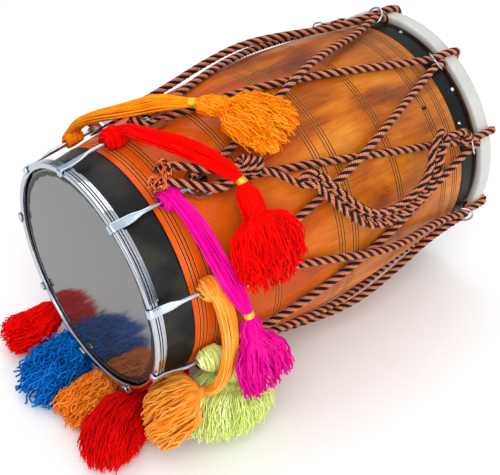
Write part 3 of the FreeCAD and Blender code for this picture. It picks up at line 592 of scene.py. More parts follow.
hookForm = [  # place, height over the rod's foot, half width, half thickness, squareness
    (-1.8, -12, 5.6, 1.4, 5), (-1.8, -9, 6.0, 1.5, 5), (-1.8, -5.6, 6.0, 1.5, 5), (-1.2, -3.9, 6.0, 1.5, 5),
    (0.4, -3.25, 6.0, 1.5, 5), (4, -3.2, 6.0, 1.5, 5), (10, -3.2, 6.0, 1.5, 5), (14, -3.0, 6.0, 1.5, 5),
    (18, -2.4, 6.0, 1.5, 5), (24, -1.3, 5.9, 1.5, 4.5), (30, -0.2, 5.4, 1.7, 4), (35, 0.7, 4.3, 2.1, 3.2),
    (40, 1.7, 3.3, 2.7, 2.4), (46, 2.6, 3.0, 3.0, 2), (70, 4.76, 3.0, 3.0, 2), (100, 7.31, 3.0, 3.0, 2),
    (127, 9.61, 3.0, 3.0, 2), (128, 9.69, 2.4, 2.4, 2),
]


def makeHook(place):
    # sections between an oval and a rounded box, carried along the hook's line; both ends close to a point
    form = np.array(hookForm, dtype=float)
    columns = 28
    line = np.stack([form[:, 0], form[:, 1] + drum["rodHeight"]], axis=1)
    tangent = unit(np.gradient(line, axis=0))
    turn = 2 * np.pi * np.arange(columns) / columns
    bend = 2 / form[:, 4:5]
    aside = form[:, 2:3] * np.sign(np.cos(turn)) * np.abs(np.cos(turn)) ** bend
    rise = form[:, 3:4] * np.sign(np.sin(turn)) * np.abs(np.sin(turn)) ** bend
    x = line[:, :1] - tangent[:, 1:] * rise
    radius = line[:, 1:] + tangent[:, :1] * rise
    sections = np.stack([x, aside, radius], axis=-1)
    tips = np.stack([line[[0, -1], 0], np.zeros(2), line[[0, -1], 1]], axis=-1)[:, None]
    tips = np.broadcast_to(tips, (2, columns, 3))
    x, aside, radius = np.moveaxis(np.concatenate([tips[:1], sections, tips[1:]]), -1, 0)
    a = math.radians(hookAngle(place) - 90)
    y = aside * math.cos(a) - radius * math.sin(a)
    z = aside * math.sin(a) + radius * math.cos(a)
    faces = gridFaces(len(x), columns)
    grid = np.stack([x, y, z], axis=-1)
    return addMesh(f"hookBlade{place}", grid, faces, [hookZinc], stands=[bodyName("hook", place)])


for place in range(drum["hookCount"]):
    makeHook(place)
print("bands, border, bass head and hooks ready")

# The rope: the CAD route's points, a smooth spline through them, four strands laid round it

rope = {
    "diameter": 11.0,
    "lay": 29.0,
    "strandCount": 4,
    "strandRadius": 2.5,
    "strandReach": 3.0,
    "sides": 8,
    "step": 2.0,
    "legAside": 12.4,
    "legStart": 156.5,
    "bightPlace": 115.0,
    "bightRise": 10.9,
    "ringPlace": 552.0,
    "ringHeight": 187.7,
    "ringAside": 5.8,
    "lift": 1.2,
    "touch": 5.8,
    "crossingFlatShare": 0.06,
    "crossingFadeShare": 0.26,
    "crossingGap": 0.6,
    "loopOver": 187.1,
    "loopUnder": 169.2,
    "loopRear": 599.6,
    "loopFront": 574.5,
    "pinchStart": 430.0,
    "pinchEnd": 588.0,
    "beforeRing": 6.0,
    "behindRing": 4.0,
    "bodyRadius": 180.0,
    "hookEnd": 165.0,
    "hookStart": 300.0,
    "plyAround": 1.6,
    "plyLength": 4.2,
}
underPlaceShares = [0.17, 0.335, 0.5, 0.665, 0.83]
overPlaceShares = [0.17, 0.32, 0.45, 0.55, 0.68, 0.83]


def legPoints(step):
    # even steps run from a hook to the next hook's ring, odd ones back; the second time round they lie on top
    isOver = step >= drum["hookCount"]
    startTurn = math.degrees(rope["legAside"] / rodRadius(rope["legStart"]))
    endTurn = math.degrees(rope["ringAside"] / rope["ringHeight"])
    if step % 2 == 0:
        first = hookAngle(step) + startTurn
        last = ringAngle(step + 1) - endTurn
    else:
        first = hookAngle(step + 1) - startTurn
        last = ringAngle(step) + endTurn
    points = []
    for share in (overPlaceShares if isOver else underPlaceShares):
        x = rope["legStart"] + (rope["ringPlace"] - rope["legStart"]) * share
        radius = float(barrelRadius(x)) + rope["touch"] + rope["lift"]
        if isOver:
            fromCrossing = max(0.0, abs(share - 0.5) - rope["crossingFlatShare"])
            over = max(0.0, 1.0 - fromCrossing / rope["crossingFadeShare"])
            radius += (rope["diameter"] + rope["crossingGap"]) * over
        points.append(tuple(onDrum(x, first + (last - first) * share, radius)))
    return points if step % 2 == 0 else points[::-1]


def hookBight(place):
    # the rope's turn through the stirrup at a hook
    aside, size = rope["legAside"], rope["diameter"]
    rear, top = rope["legStart"], rope["bightPlace"]
    middle = top + 0.7 * size
    angle = hookAngle(place)
    return [
        beside(angle, rear, aside, rodRadius(rear)),
        beside(angle, middle, aside, rodRadius(middle) + 0.2 * size),
        beside(angle, top, 0.62 * aside, rodRadius(top) + rope["bightRise"]),
        beside(angle, top, -0.62 * aside, rodRadius(top) + rope["bightRise"]),
        beside(angle, middle, -aside, rodRadius(middle) + 0.2 * size),
        beside(angle, rear, -aside, rodRadius(rear)),
    ]


def ringLoop(place):
    # through the ring, over the bass hoop, back under it through the hide and through the ring again
    aside, height, at = rope["ringAside"], rope["ringHeight"], rope["ringPlace"]
    over, under, rear, front = (rope[key] for key in ("loopOver", "loopUnder", "loopRear", "loopFront"))
    angle = ringAngle(place)
    return [
        beside(angle, at - 8.0, aside, height - 0.2),
        beside(angle, at + 10.0, aside, height),
        beside(angle, rear, 0.45 * aside, over),
        beside(angle, rear, -0.2 * aside, under),
        beside(angle, front, -0.6 * aside, under),
        beside(angle, at + 8.0, -aside, height),
        beside(angle, at - 12.0, -aside, height - 0.6),
    ]


def ropeRoute():
    # bights, legs and loops in the order that the one rope takes them
    route = list(hookBight(0)[3:])
    for step in range(2 * drum["hookCount"]):
        route += legPoints(step)
        place = step + 1
        if step % 2 == 0:
            route += ringLoop(place)
        elif place < 2 * drum["hookCount"]:
            route += hookBight(place)
        else:
            route += hookBight(place)[:3]
    return route


def smoothLine(points, spacing):
    # a NURBS spline with the route's points as control points, read back and spaced evenly
    curve = bpy.data.curves.new("route", "CURVE")
    curve.dimensions = "3D"
    curve.resolution_u = 12
    spline = curve.splines.new("NURBS")
    spline.points.add(len(points) - 1)
    spline.points.foreach_set("co", np.column_stack([np.asarray(points) * mm, np.ones(len(points))]).ravel())
    spline.order_u = 3
    spline.use_endpoint_u = True
    holder = bpy.data.objects.new("route", curve)
    mesh = bpy.data.meshes.new_from_object(holder)
    line = np.empty(len(mesh.vertices) * 3)
    mesh.vertices.foreach_get("co", line)
    line = line.reshape(-1, 3) / mm
    bpy.data.objects.remove(holder)
    bpy.data.curves.remove(curve)
    bpy.data.meshes.remove(mesh)
    return evenly(line, spacing)


def evenly(line, spacing):
    # the same line read at even steps of its length
    lengths = np.linalg.norm(np.diff(line, axis=0), axis=1)
    keep = np.concatenate([[True], lengths > 1e-6])
    line = line[keep]
    along = np.concatenate([[0], np.cumsum(np.linalg.norm(np.diff(line, axis=0), axis=1))])
    places = np.linspace(0, along[-1], max(4, int(along[-1] / spacing)))
    return np.stack([np.interp(places, along, column) for column in line.T], axis=-1)


def laidStrands(line, size=1.0):
    # each strand is the centre line moved out by the reach, turning once in every lay
    normals, binormals = (part[0] for part in carriedFrames(line[None])[1:])
    step = np.linalg.norm(np.diff(line, axis=0), axis=1)
    along = np.concatenate([[0], np.cumsum(step)])
    strands = []
    for strand in range(rope["strandCount"]):
        turn = 2 * np.pi * (along / (rope["lay"] * size) + strand / rope["strandCount"])
        outward = normals * np.cos(turn)[:, None] + binormals * np.sin(turn)[:, None]
        strands.append(line + outward * rope["strandReach"] * size)
    return np.stack(strands)


def addRope(name, strands, size=1.0, body=None, stands=()):
    # black and salmon strands by turns; the plies follow the strand through its UV map
    vertices, faces, uv, perStrand = tubes(strands, rope["strandRadius"] * size, rope["sides"])
    sides = rope["sides"]
    around = np.tile(np.arange(sides) / sides, len(vertices) // sides)
    uv = np.stack([around * rope["plyAround"], uv[:, 1] / (rope["plyLength"] * mm)], axis=1)
    tone = np.repeat(np.arange(len(strands)) % 2, perStrand)
    finish = [ropeBlack, ropeSalmon]
    return addMesh(name, vertices, faces, finish, body=body, uv=uv, faceMaterial=tone, stands=stands)


def makeLacing():
    # the rope is cut halfway along each leg, and again where it comes to a ring and leaves it
    line = smoothLine(ropeRoute(), rope["step"])
    strands = laidStrands(line)
    x = line[:, 0]
    middle = 0.5 * (rope["legStart"] + rope["ringPlace"])
    cuts = np.flatnonzero(np.diff(np.sign(x - middle))) + 1
    edges = [0] + list(cuts) + [len(line)]

    def blended(name, first, last, near, far, angle, start, end):
        # a run of the rope between two cuts, made in place as one piece
        made = addRope(name, strands[:, max(0, first - 1):last], stands=["rope_lacing"])
        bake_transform(made)

    for part, (first, last) in enumerate(zip(edges, edges[1:])):
        if x[(first + last) // 2] < middle:
            stirrup = bodyName("stirrup", part)
            places = (rope["hookStart"], rope["hookEnd"])
            blended(f"ropeAtHook{part}", first, last, "root", stirrup, hookAngle(part), *places)
            continue
        # each part at a ring is cut again where the rope passes the ring's place along the drum
        ring = bodyName("ring", part)
        angle = ringAngle(part)
        beyond = first + np.flatnonzero(x[first:last] > rope["ringPlace"])
        rimFirst, rimLast = beyond[0], beyond[-1]
        before = (rope["pinchStart"], rope["ringPlace"] - rope["beforeRing"])
        behind = (rope["ringPlace"] + rope["behindRing"], rope["pinchEnd"])
        blended(f"ropeToRing{part}", first, rimFirst, "root", ring, angle, *before)
        blended(f"ropeFromRing{part}", rimLast, last, "root", ring, angle, *before)
        blended(f"ropeAtRim{part}", rimFirst, rimLast + 1, ring, "root", angle, *behind)
    print("lacing ready,", round(len(line) * rope["step"]), "mm of rope in", len(edges) - 1, "pieces")


makeLacing()

# Tassels: loose yarns carried inside a form that swells from the strand to the skirt

# Each station has a place, angle and radius on the drum, or three coordinates for those that end on the
# floor, and then the form's width and thickness.
drumTassels = {
    7: [(88, 51, 190, 24, 13), (98, 66, 193, 28, 14), (119, 77, 199, 34, 16), (150, 84, 204, 34, 16),
        (180, 93, 206, 15, 12), (187, 96, 207, 27, 19), (195, 99.5, 209, 31, 21), (203, 103, 211, 28, 19),
        (209, 106, 213, 66, 26), (222, 112, 216, 88, 28), (234, 118, 218, 98, 26), (243, 124, 220, 98, 16)],
    8: [(93, 87, 191, 22, 13), (98, 96, 199, 26, 13), (114, 106, 206, 28, 13), (133, 115, 209, 28, 13),
        (149, 123, 210, 24, 13), (159, 129.5, 210, 15, 12), (157, 134, 212, 27, 17), (155, 139, 213, 30, 18),
        (154, 142, 213, 30, 18), (154, 144.5, 215, 74, 22), (154, 149, 216, 100, 26),
        (154, 155, 217, 106, 26),
        (153, 160.5, 218, 106, 22), (152, 166, 220, 100, 14)],
    0: [(85, 133, 193, 22, 13), (89, 148, 200, 24, 12), (100, 162.5, 203, 24, 12), (113, 174.5, 203, 15, 12),
        (114, 179, 206, 25, 18), (115, 183.5, 209, 27, 19), (117, 187, 214, 46, 22), (121, 192, 222, 74, 24),
        (125, 198, 233, 80, 22), (129, 204, 246, 82, 16)],
}
floorTassels = {
    1: [(86, -184, 44, 22, 13), (90, -190, 16, 24, 13), (90, -195, -18, 24, 13), (84, -198, -50, 24, 13),
        (74, -197, -78, 22, 13), (64, -188, -95, 18, 12), (54, -176, -104, 15, 12), (43, -170, -107, 70, 44),
        (27, -164, -117, 90, 56), (11, -154, -136, 94, 58), (-2, -143, -160, 88, 42)],
    2: [(97, -176, -84, 18, 14), (107, -178, -108, 20, 14), (110, -170, -118, 15, 12),
        (104, -166, -124, 84, 66),
        (99, -170, -138, 128, 92), (95, -176, -156, 144, 106), (91, -181, -177, 146, 104),
        (88, -186, -196, 130, 82)],
    3: [(66, -88, -163, 16, 12), (54, -82, -170, 16, 12), (40, -76, -178, 14, 12), (28, -76, -182, 44, 30),
        (8, -80, -183, 68, 44), (-16, -89, -183, 86, 54), (-42, -104, -184, 94, 56),
        (-65, -124, -186, 90, 48),
        (-82, -142, -189, 76, 32)],
    4: [(60, 16, -184, 14, 11), (42, 6, -188, 14, 11), (26, -2, -190, 14, 12), (14, -8, -188, 36, 28),
        (-4, -16, -187, 50, 36), (-26, -24, -187, 62, 40), (-52, -33, -188, 68, 40),
        (-76, -42, -190, 68, 30)],
    5: [(60, 130, -136, 14, 11), (44, 112, -160, 14, 11), (30, 92, -176, 14, 12), (16, 80, -184, 40, 28),
        (-6, 66, -185, 64, 42), (-34, 51, -184, 88, 52), (-64, 38, -185, 98, 52), (-94, 29, -188, 92, 38)],
    6: [(66, 188, -28, 18, 12), (60, 186, -64, 18, 12), (50, 176, -102, 18, 12), (38, 162, -138, 18, 12),
        (28, 150, -162, 15, 12), (14, 145, -172, 40, 28), (-6, 141, -180, 58, 38), (-28, 140, -184, 70, 42),
        (-48, 142, -185, 72, 42), (-66, 146, -188, 66, 34)],
}
tieSteps = {7: 5, 8: 6, 0: 4, 1: 7, 2: 3, 3: 3, 4: 3, 5: 3, 6: 5}
yarnColours = {
    "marigold": [(0.25, "#F06400"), (0.45, "#FF8C06"), (0.65, "#FFA216"), (0.85, "#FFB838")],
    "flatRed": [(0.25, "#D00000"), (0.5, "#FF0200"), (0.85, "#FF1206")],
    "darkRed": [(0.25, "#D80000"), (0.5, "#FF0202"), (0.85, "#FF1408")],
    "magenta": [(0.25, "#BE0078"), (0.5, "#EE0096"), (0.85, "#FF28A8")],
    "paleOrange": [(0.25, "#F07E14"), (0.5, "#FFA030"), (0.85, "#FFC468")],
    "orange": [(0.25, "#EA6E0E"), (0.5, "#FF8C20"), (0.85, "#FFAE54")],
    "lime": [(0.25, "#DCEC70"), (0.5, "#F0FF94"), (0.85, "#FFFFD0")],
    "blue": [(0.25, "#004A90"), (0.5, "#046CC6"), (0.85, "#1A90F0")],
}
yarnMaterials = {name: tasselYarn(name + "AcrylicYarn", stops) for name, stops in yarnColours.items()}

# Sizes in mm; wave and cycles bend each yarn, together makes neighbours bend alike, dome rounds the skirt's
# end and ragged makes it uneven; knot is the size of the yarns' knot round the rod.
tasselLooks = {
    7: {"colour": "marigold", "radius": 0.85, "count": 560, "wave": 2.6, "cycles": 4.5, "together": 0.2,
        "dome": 0.22, "ragged": 0.3, "gold": True, "knot": 0.85},
    8: {"colour": "flatRed", "radius": 0.9, "count": 640, "wave": 2.4, "cycles": 2.6, "together": 0.35,
        "dome": 0.24, "ragged": 0.24, "gold": True},
    0: {"colour": "magenta", "radius": 1.35, "count": 210, "wave": 2.4, "cycles": 2.2, "together": 0.4,
        "dome": 0.1, "ragged": 0.2, "gold": True},
    1: {"colour": "paleOrange", "radius": 1.15, "count": 400, "wave": 2.1, "cycles": 2.0, "together": 0.7,
        "dome": 0.25, "ragged": 0.2, "gold": False},
    2: {"colour": "lime", "radius": 0.8, "count": 720, "wave": 2.2, "cycles": 2.2, "together": 0.5,
        "dome": 0.45, "ragged": 0.1, "gold": False, "knot": 1.25},
    3: {"colour": "darkRed", "radius": 0.7, "count": 900, "wave": 1.6, "cycles": 1.5, "together": 0.4,
        "dome": 0.5, "ragged": 0.08, "gold": False},
    4: {"colour": "orange", "radius": 1.1, "count": 400, "wave": 3.2, "cycles": 2.6, "together": 0.6,
        "dome": 0.3, "ragged": 0.2, "gold": False},
    5: {"colour": "blue", "radius": 1.4, "count": 480, "wave": 4.4, "cycles": 3.4, "together": 0.0,
        "dome": 0.45, "ragged": 0.25, "gold": False},
    6: {"colour": "flatRed", "radius": 0.9, "count": 480, "wave": 2.6, "cycles": 2.4, "together": 0.3,
        "dome": 0.3, "ragged": 0.2, "gold": False},
}
tassel = {
    "formSteps": 110,
    "leastSize": 8.0,
    "firstRise": 10.5,
    "firstSize": (14.0, 11.0),
    "tieSize": (9.5, 9.0),
    "strandYarns": 90,
    "strandYarnRadius": 1.1,
    "strandSteps": 22,
    "strandLook": {"wave": 0.7, "cycles": 2.0, "together": 0.5, "dome": 0.0, "ragged": 0.0},
    "skirtStart": -0.02,
    "skirtEnd": 1.02,
    "coreStart": 0.01,
    "coreEnd": 0.92,
    "coreShare": 0.55,
    "tieReach": 6.6,
    "tieHalf": 4.2,
    "tieTurns": 6,
    "tieSteps": 150,
    "tieYarnRadius": 0.95,
}
knot = {"place": 80.0, "rise": 2.5, "coreRise": 1.0, "loops": 96, "steps": 20, "half": 13.0, "spread": 23,
        "lean": 5.2, "wide": 1.2, "high": 1.1, "lowest": -9.0, "yarnRadius": 1.15, "coreRadius": 10.5}


def tasselForm(place):
    # points, widths with thicknesses, and outward directions, from the knot to the skirt's end
    onFloor = place in floorTassels
    stations = floorTassels[place] if onFloor else drumTassels[place]
    first = beside(hookAngle(place), knot["place"], 0, rodRadius(knot["place"]) + tassel["firstRise"])
    points = np.array([first] + [s[:3] if onFloor else tuple(onDrum(*s[:3])) for s in stations])
    sizes = np.array([tassel["firstSize"]] + [s[3:] for s in stations], dtype=float)
    sizes[tieSteps[place]] = tassel["tieSize"]
    ups = points * [0, 1, 1]
    if onFloor:
        # the skirt's thin way is up, but the lime one leans on the drum and faces sideways
        ups[tieSteps[place]:] = [0, -200.0, 0] if place == 2 else [0, 0, 200.0]
    return points, sizes, unit(ups)


def spreadForm(points, sizes, ups, count):
    # stations blended to many steps by a cubic that keeps each station's value and slope
    marks = np.linspace(0, 1, len(points))
    at = np.linspace(0, 1, count)
    cell = np.clip(np.searchsorted(marks, at) - 1, 0, len(marks) - 2)
    width = (marks[cell + 1] - marks[cell])[:, None]
    t = (at - marks[cell])[:, None] / width

    def blend(values):
        slopes = np.gradient(values, marks, axis=0)
        here = (2 * t ** 3 - 3 * t ** 2 + 1) * values[cell] + (t ** 3 - 2 * t ** 2 + t) * width * slopes[cell]
        after = (-2 * t ** 3 + 3 * t ** 2) * values[cell + 1] + (t ** 3 - t ** 2) * width * slopes[cell + 1]
        return here + after

    points, sizes, ups = blend(points), np.maximum(blend(sizes), tassel["leastSize"]), unit(blend(ups))
    along = unit(np.gradient(points, axis=0))
    across = unit(np.cross(along, ups))
    return points, sizes, across, np.cross(across, along), along


def diskSpots(count, random, edgeBias):
    # spots in a unit disk, pushed towards its edge by the bias
    angle = random.random(count) * 2 * np.pi
    radius = random.random(count) ** (0.5 / (1 + edgeBias))
    return radius * np.cos(angle), radius * np.sin(angle)


def carriedYarns(form, first, last, spots, random, look, steps):
    # each yarn keeps its spot in the section, bends in waves and ends on a dome, unevenly
    points, sizes, across, up, along = form
    a, b = spots
    count = len(a)
    rim = 1 - np.sqrt(np.clip(1 - a ** 2 - b ** 2, 0, 1))
    end = last - (look["dome"] * rim + look["ragged"] * random.random(count) ** 2) * (last - first)
    at = (first + (end - first)[:, None] * np.linspace(0, 1, steps)[None]) * (len(points) - 1)
    t = np.linspace(0, 1, steps)
    swings = []
    for axis in range(3):
        swing = 0
        for part in range(2):
            rate = look["cycles"] * (0.6 + 0.8 * random.random(count)) * (1 + part)
            phase = 2 * np.pi * random.random(count) * (1 - look["together"])
            phase += (4 - axis) * a + (3 + part) * b
            swing = swing + np.sin(2 * np.pi * rate[:, None] * t + phase[:, None]) / (1 + part)
        swings.append((swing - swing[:, :1]) * look["wave"] * (0.12 + t) ** 0.9)
    size = readRows(at, sizes)
    offA = a[:, None] * size[..., 0] / 2 + swings[0]
    offB = b[:, None] * size[..., 1] / 2 + 0.8 * swings[1]
    paths = readRows(at, points) + readRows(at, across) * offA[..., None] + readRows(at, up) * offB[..., None]
    paths += readRows(at, along) * 0.6 * swings[2][..., None]
    paths[..., 2] = np.maximum(paths[..., 2], floorLevel + 1.5)
    return paths


def addYarns(name, paths, material, radius, sides=4, stands=()):
    # one tube for each path; each has its own number in the UV map
    vertices, faces, uv = tubes(paths, radius, sides)[:3]
    return addMesh(name, vertices, faces, [material], uv=uv, stands=stands)


def formCore(name, form, first, last, shrink, material):
    # a closed core a little inside the yarns, so that nothing shows through them
    points, sizes, across, up = form[:4]
    rows = np.arange(int(first * (len(points) - 1)), int(last * (len(points) - 1)) + 1)
    columns = 20
    turn = 2 * np.pi * np.arange(columns) / columns
    share = np.linspace(-1, 1, len(rows))
    scale = shrink * np.sqrt(np.clip(1 - np.clip(share, 0, 1) ** 4, 0.0025, 1))
    scale[0] = 0.05
    ring = (across[rows][:, None] * (sizes[rows][:, None, :1] / 2 * np.cos(turn)[:, None])
            + up[rows][:, None] * (sizes[rows][:, None, 1:] / 2 * np.sin(turn)[:, None]))
    grid = points[rows][:, None] + ring * scale[:, None, None]
    grid[..., 2] = np.maximum(grid[..., 2], floorLevel + 2.0)
    uv = np.zeros((len(rows) * columns, 2))
    return addMesh(name, grid, gridFaces(len(rows), columns), [material], uv=uv)


def makeKnotYarns(place, random):
    # loops of yarn wound round the rod in two slanting families, and a core under them
    angle = hookAngle(place)
    middle = np.array(beside(angle, knot["place"], 0, rodRadius(knot["place"]) + knot["rise"]))
    toRear = unit(np.array(beside(angle, 10.0, 0, 0.85)) - np.array(beside(angle, 0, 0, 0)))
    out = unit(np.array(beside(angle, 0, 0, 1.0)))
    side = np.cross(toRear, out)
    count, half = knot["loops"], knot["half"]
    scale = tasselLooks[place].get("knot", 1.0)
    turn = np.linspace(0, 2 * np.pi, knot["steps"])[None]
    family = np.where(np.arange(count) % 3 == 0, 1.0, -0.35)[:, None]
    shift = (random.random(count)[:, None] - 0.5) * knot["spread"]
    grow = 0.82 + 0.22 * random.random(count)[:, None]
    size = half * np.sqrt(np.clip(1 - (shift / half) ** 2, 0.1, 1)) * grow
    lengthwise = shift + family * knot["lean"] * np.cos(turn + random.random(count)[:, None])
    outwards = np.maximum(size * np.sin(turn) * knot["high"], knot["lowest"])
    sideways = size * np.cos(turn) * knot["wide"]
    lengthwise, outwards, sideways = (scale * part[..., None] for part in (lengthwise, outwards, sideways))
    yarns = middle + lengthwise * toRear + outwards * out + sideways * side
    share = np.linspace(-0.97, 0.97, 14)
    core = (middle + out * knot["coreRise"] + toRear * (half * scale * share)[:, None])[None]
    return yarns, core, knot["coreRadius"] * scale * np.sqrt(1 - share ** 2)


def makeTie(name, form, tie, material):
    # thread wound round the neck: a helix about the form's line
    at = round(tie * (len(form[0]) - 1))
    middle, across, up, along = (form[part][at] for part in (0, 2, 3, 4))
    turn = np.linspace(0, 2 * np.pi * tassel["tieTurns"], tassel["tieSteps"])
    coil = across * np.cos(turn)[:, None] + up * np.sin(turn)[:, None] * 0.9
    rise = np.linspace(-tassel["tieHalf"], tassel["tieHalf"], tassel["tieSteps"])
    coil = middle + coil * tassel["tieReach"] + along * rise[:, None]
    return addYarns(name, coil[None], material, tassel["tieYarnRadius"], 6)


def makeTassel(place):
    # a strand from the knot to the tie, the knot, the skirt below the tie, a core under it and the tie
    random = np.random.default_rng(100 + place)
    look = tasselLooks[place]
    material = yarnMaterials[look["colour"]]
    points, sizes, ups = tasselForm(place)
    form = spreadForm(points, sizes, ups, tassel["formSteps"])
    tie = tieSteps[place] / (len(points) - 1)
    spots = diskSpots(tassel["strandYarns"], random, 1.2)
    strand = carriedYarns(form, 0.0, tie, spots, random, tassel["strandLook"], tassel["strandSteps"])
    standsFor = [bodyName("tassel", place)]
    addYarns(f"tassel{place}Strand", strand, material, tassel["strandYarnRadius"], stands=standsFor)
    loops, core, coreRadius = makeKnotYarns(place, random)
    addYarns(f"tassel{place}Knot", loops, material, knot["yarnRadius"])
    addYarns(f"tassel{place}KnotCore", core, material, coreRadius, 16)
    steps = 30 if look["wave"] > 3 else 22
    spots = diskSpots(look["count"], random, 0.6)
    first, last = tie + tassel["skirtStart"], tassel["skirtEnd"]
    skirt = carriedYarns(form, first, last, spots, random, look, steps)
    sides = 3 if look["count"] > 600 else 4
    addYarns(f"tassel{place}Skirt", skirt, material, look["radius"], sides)
    first, last = tie + tassel["coreStart"], tassel["coreEnd"]
    formCore(f"tassel{place}Core", form, first, last, tassel["coreShare"], material)
    return makeTie(f"tassel{place}Tie", form, tie, goldThread if look["gold"] else material)


ties = [makeTassel(place) for place in range(drum["hookCount"])]
for tie in ties:
    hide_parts("tassel_ties")
print("tassels ready")

# The surplus rope, crocheted into a chain, its knots and the two frayed ends

chain = {"pitch": 16.0, "spread": 10.0, "height": 4.8, "size": 0.88, "radius": 212.2, "dropPlace": 450.0,
         "dropSlope": 0.1, "ropeStep": 1.8, "tailStart": 470.0, "tailEnd": 526.0, "tailRadius": 190.0}
chainRoute = [(232, 139.5), (250, 137.5), (264, 144.5), (281, 152), (300, 158.5), (322, 163), (348, 165),
              (376, 165), (404, 163.5), (428, 161), (443, 157), (452, 152), (470, 148), (492, 147),
              (514, 148.5)]
chainLead = [(178, 124.5, 204), (188, 127, 204), (202, 130, 203), (218, 134, 205)]
chainTail = [(524, 150, 203), (534, 153.5, 194), (540, 156, 188)]

# One stitch: places along in pitches, aside in spreads and outwards in heights; two legs, a head and the run
# under them.
stitchShares = [
    (-0.1, 0.3, -0.3), (0.5, 0.7, 0.8), (1.2, 1.0, 1.1), (1.7, 0.5, -0.5), (1.7, -0.5, -0.5),
    (1.2, -1.0, 1.1), (0.5, -0.7, 0.8), (-0.1, -0.3, -0.3), (0.1, -0.1, -1.3), (0.7, 0.1, -1.3),
]


def makeChain():
    # chain stitches along the route, joined to a single rope at each end
    drops = [max(0.0, point[0] - chain["dropPlace"]) * chain["dropSlope"] for point in chainRoute]
    points = [tuple(onDrum(*point, chain["radius"] - drop)) for point, drop in zip(chainRoute, drops)]
    line = smoothLine(points, 1.0)
    count = int(len(line) / chain["pitch"]) - 2
    out = unit(line * [0, 1, 1])
    side = unit(np.cross(unit(np.gradient(line, axis=0)), out))
    stitch = np.array(stitchShares)
    at = ((np.arange(count)[:, None] + 0.2 + stitch[None, :, 0]) * chain["pitch"]).ravel()
    aside = np.tile(stitch[:, 1] * chain["spread"], count)
    height = np.tile(stitch[:, 2] * chain["height"], count)
    middle = readRows(at, line) + readRows(at, side) * aside[:, None] + readRows(at, out) * height[:, None]
    lead = [tuple(onDrum(*point)) for point in chainLead]
    tail = [tuple(onDrum(*point)) for point in chainTail]
    path = smoothLine(lead + [tuple(point) for point in middle] + tail, chain["ropeStep"])
    made = addRope("ropeChain", laidStrands(path, chain["size"]), chain["size"], stands=["rope_chain"])
    # the two places beside a ring where the tail is tied
    tailPlaces = [onDrum(chain[end], ringAngle(1), chain["tailRadius"]) for end in ("tailStart", "tailEnd")]
    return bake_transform(made)


ropeKnots = [  # name, first and last place, reach in mm, turns, share of the rope's size, body
    ("frontKnot", (172, 123.5, 203), (192, 126.5, 203), 9.5, 2.4, 0.8, "root"),
    ("rearKnot", (528, 153, 192), (540, 156, 186), 8.5, 1.8, 0.8, bodyName("ring", 1)),
]


def wrapRound(name, first, last, reach, turns, size, body):
    # a knot: the rope wound round another between two places, leaning as it goes
    first, last = np.array(onDrum(*first)), np.array(onDrum(*last))
    axis = unit(last - first)
    out = unit((first + last) * [0, 1, 1])
    side = unit(np.cross(axis, out))
    out = np.cross(side, axis)
    turn = np.linspace(0, 2 * np.pi * turns, int(turns * 40))
    share = turn / turn[-1]
    lean = 0.5 * reach * np.sin(turn)
    path = (first + (last - first) * share[:, None] + side * (reach * np.cos(turn))[:, None]
            + out * (reach * np.sin(turn))[:, None] + axis * lean[:, None])
    path = evenly(path, chain["ropeStep"])
    return addRope(name, laidStrands(path, size), size, body=body, stands=["rope_chain"])


ropeEnds = [  # each end's route, and its numbers of black and orange curls and fibres
    {"route": [(88, 112.5, 197), (98, 112.5, 196.4), (112, 115.5, 197.7), (126, 118.5, 198.5),
               (138, 121, 200), (158, 123.5, 203), (178, 124.5, 205)],
     "blackCurls": 60, "orangeCurls": 24, "blackFibres": 160, "orangeFibres": 60},
    {"route": [(72, 116, 193.3), (78, 116.5, 194.3), (92, 120, 197.3), (106, 123, 199.5), (120, 126, 200.5),
               (134, 128.5, 201), (152, 128, 202), (172, 126, 203)],
     "blackCurls": 30, "orangeCurls": 44, "blackFibres": 80, "orangeFibres": 160},
]
fray = {"fibreReach": 15.0, "fibreRadius": 0.45, "fibreSpread": 0.75, "fibreCurl": 2.5, "rootDepth": 3.0,
        "rootSpread": 2.4, "blackCurlReach": 8.5, "orangeCurlReach": 9.0, "curlTurn": 1.4, "curlSpread": 2.0,
        "curlRadius": 1.0, "strandCount": 6, "strandReach": (9, 6), "strandBend": (5, 7), "strandDepth": 5,
        "strandRadii": (2.6, 1.4), "strandSpread": 3}


def frayedEnd(name, tip, away, material, random, count):
    # short fibres that spread from the cut end of the rope, curling as the square of the way along
    spread = unit(away + fray["fibreSpread"] * random.normal(size=(count, 3)))
    start = tip - away * fray["rootDepth"] + random.normal(size=(count, 3)) * fray["rootSpread"]
    length = fray["fibreReach"] * (0.4 + 0.6 * random.random(count))
    steps = np.linspace(0, 1, 5)[None, :, None]
    curl = random.normal(size=(count, 3))[:, None] * (steps ** 2) * fray["fibreCurl"]
    paths = start[:, None] + spread[:, None] * length[:, None, None] * steps + curl
    return addYarns(name, paths, material, fray["fibreRadius"], 3)


def crumpledYarns(name, tip, material, random, count, reach):
    # loose yarns curled up at the cut end: arcs of circles that face every way
    first = unit(random.normal(size=(count, 3)))
    other = unit(np.cross(first, random.normal(size=(count, 3))))
    turn = np.linspace(0, fray["curlTurn"] * np.pi, 14)
    size = reach * (0.45 + 0.55 * random.random((count, 1, 1)))
    paths = first[:, None] * np.cos(turn)[:, None] + other[:, None] * np.sin(turn)[:, None]
    paths = tip + paths * size + random.normal(size=(count, 1, 3)) * fray["curlSpread"]
    return addYarns(name, paths, material, fray["curlRadius"], 5)


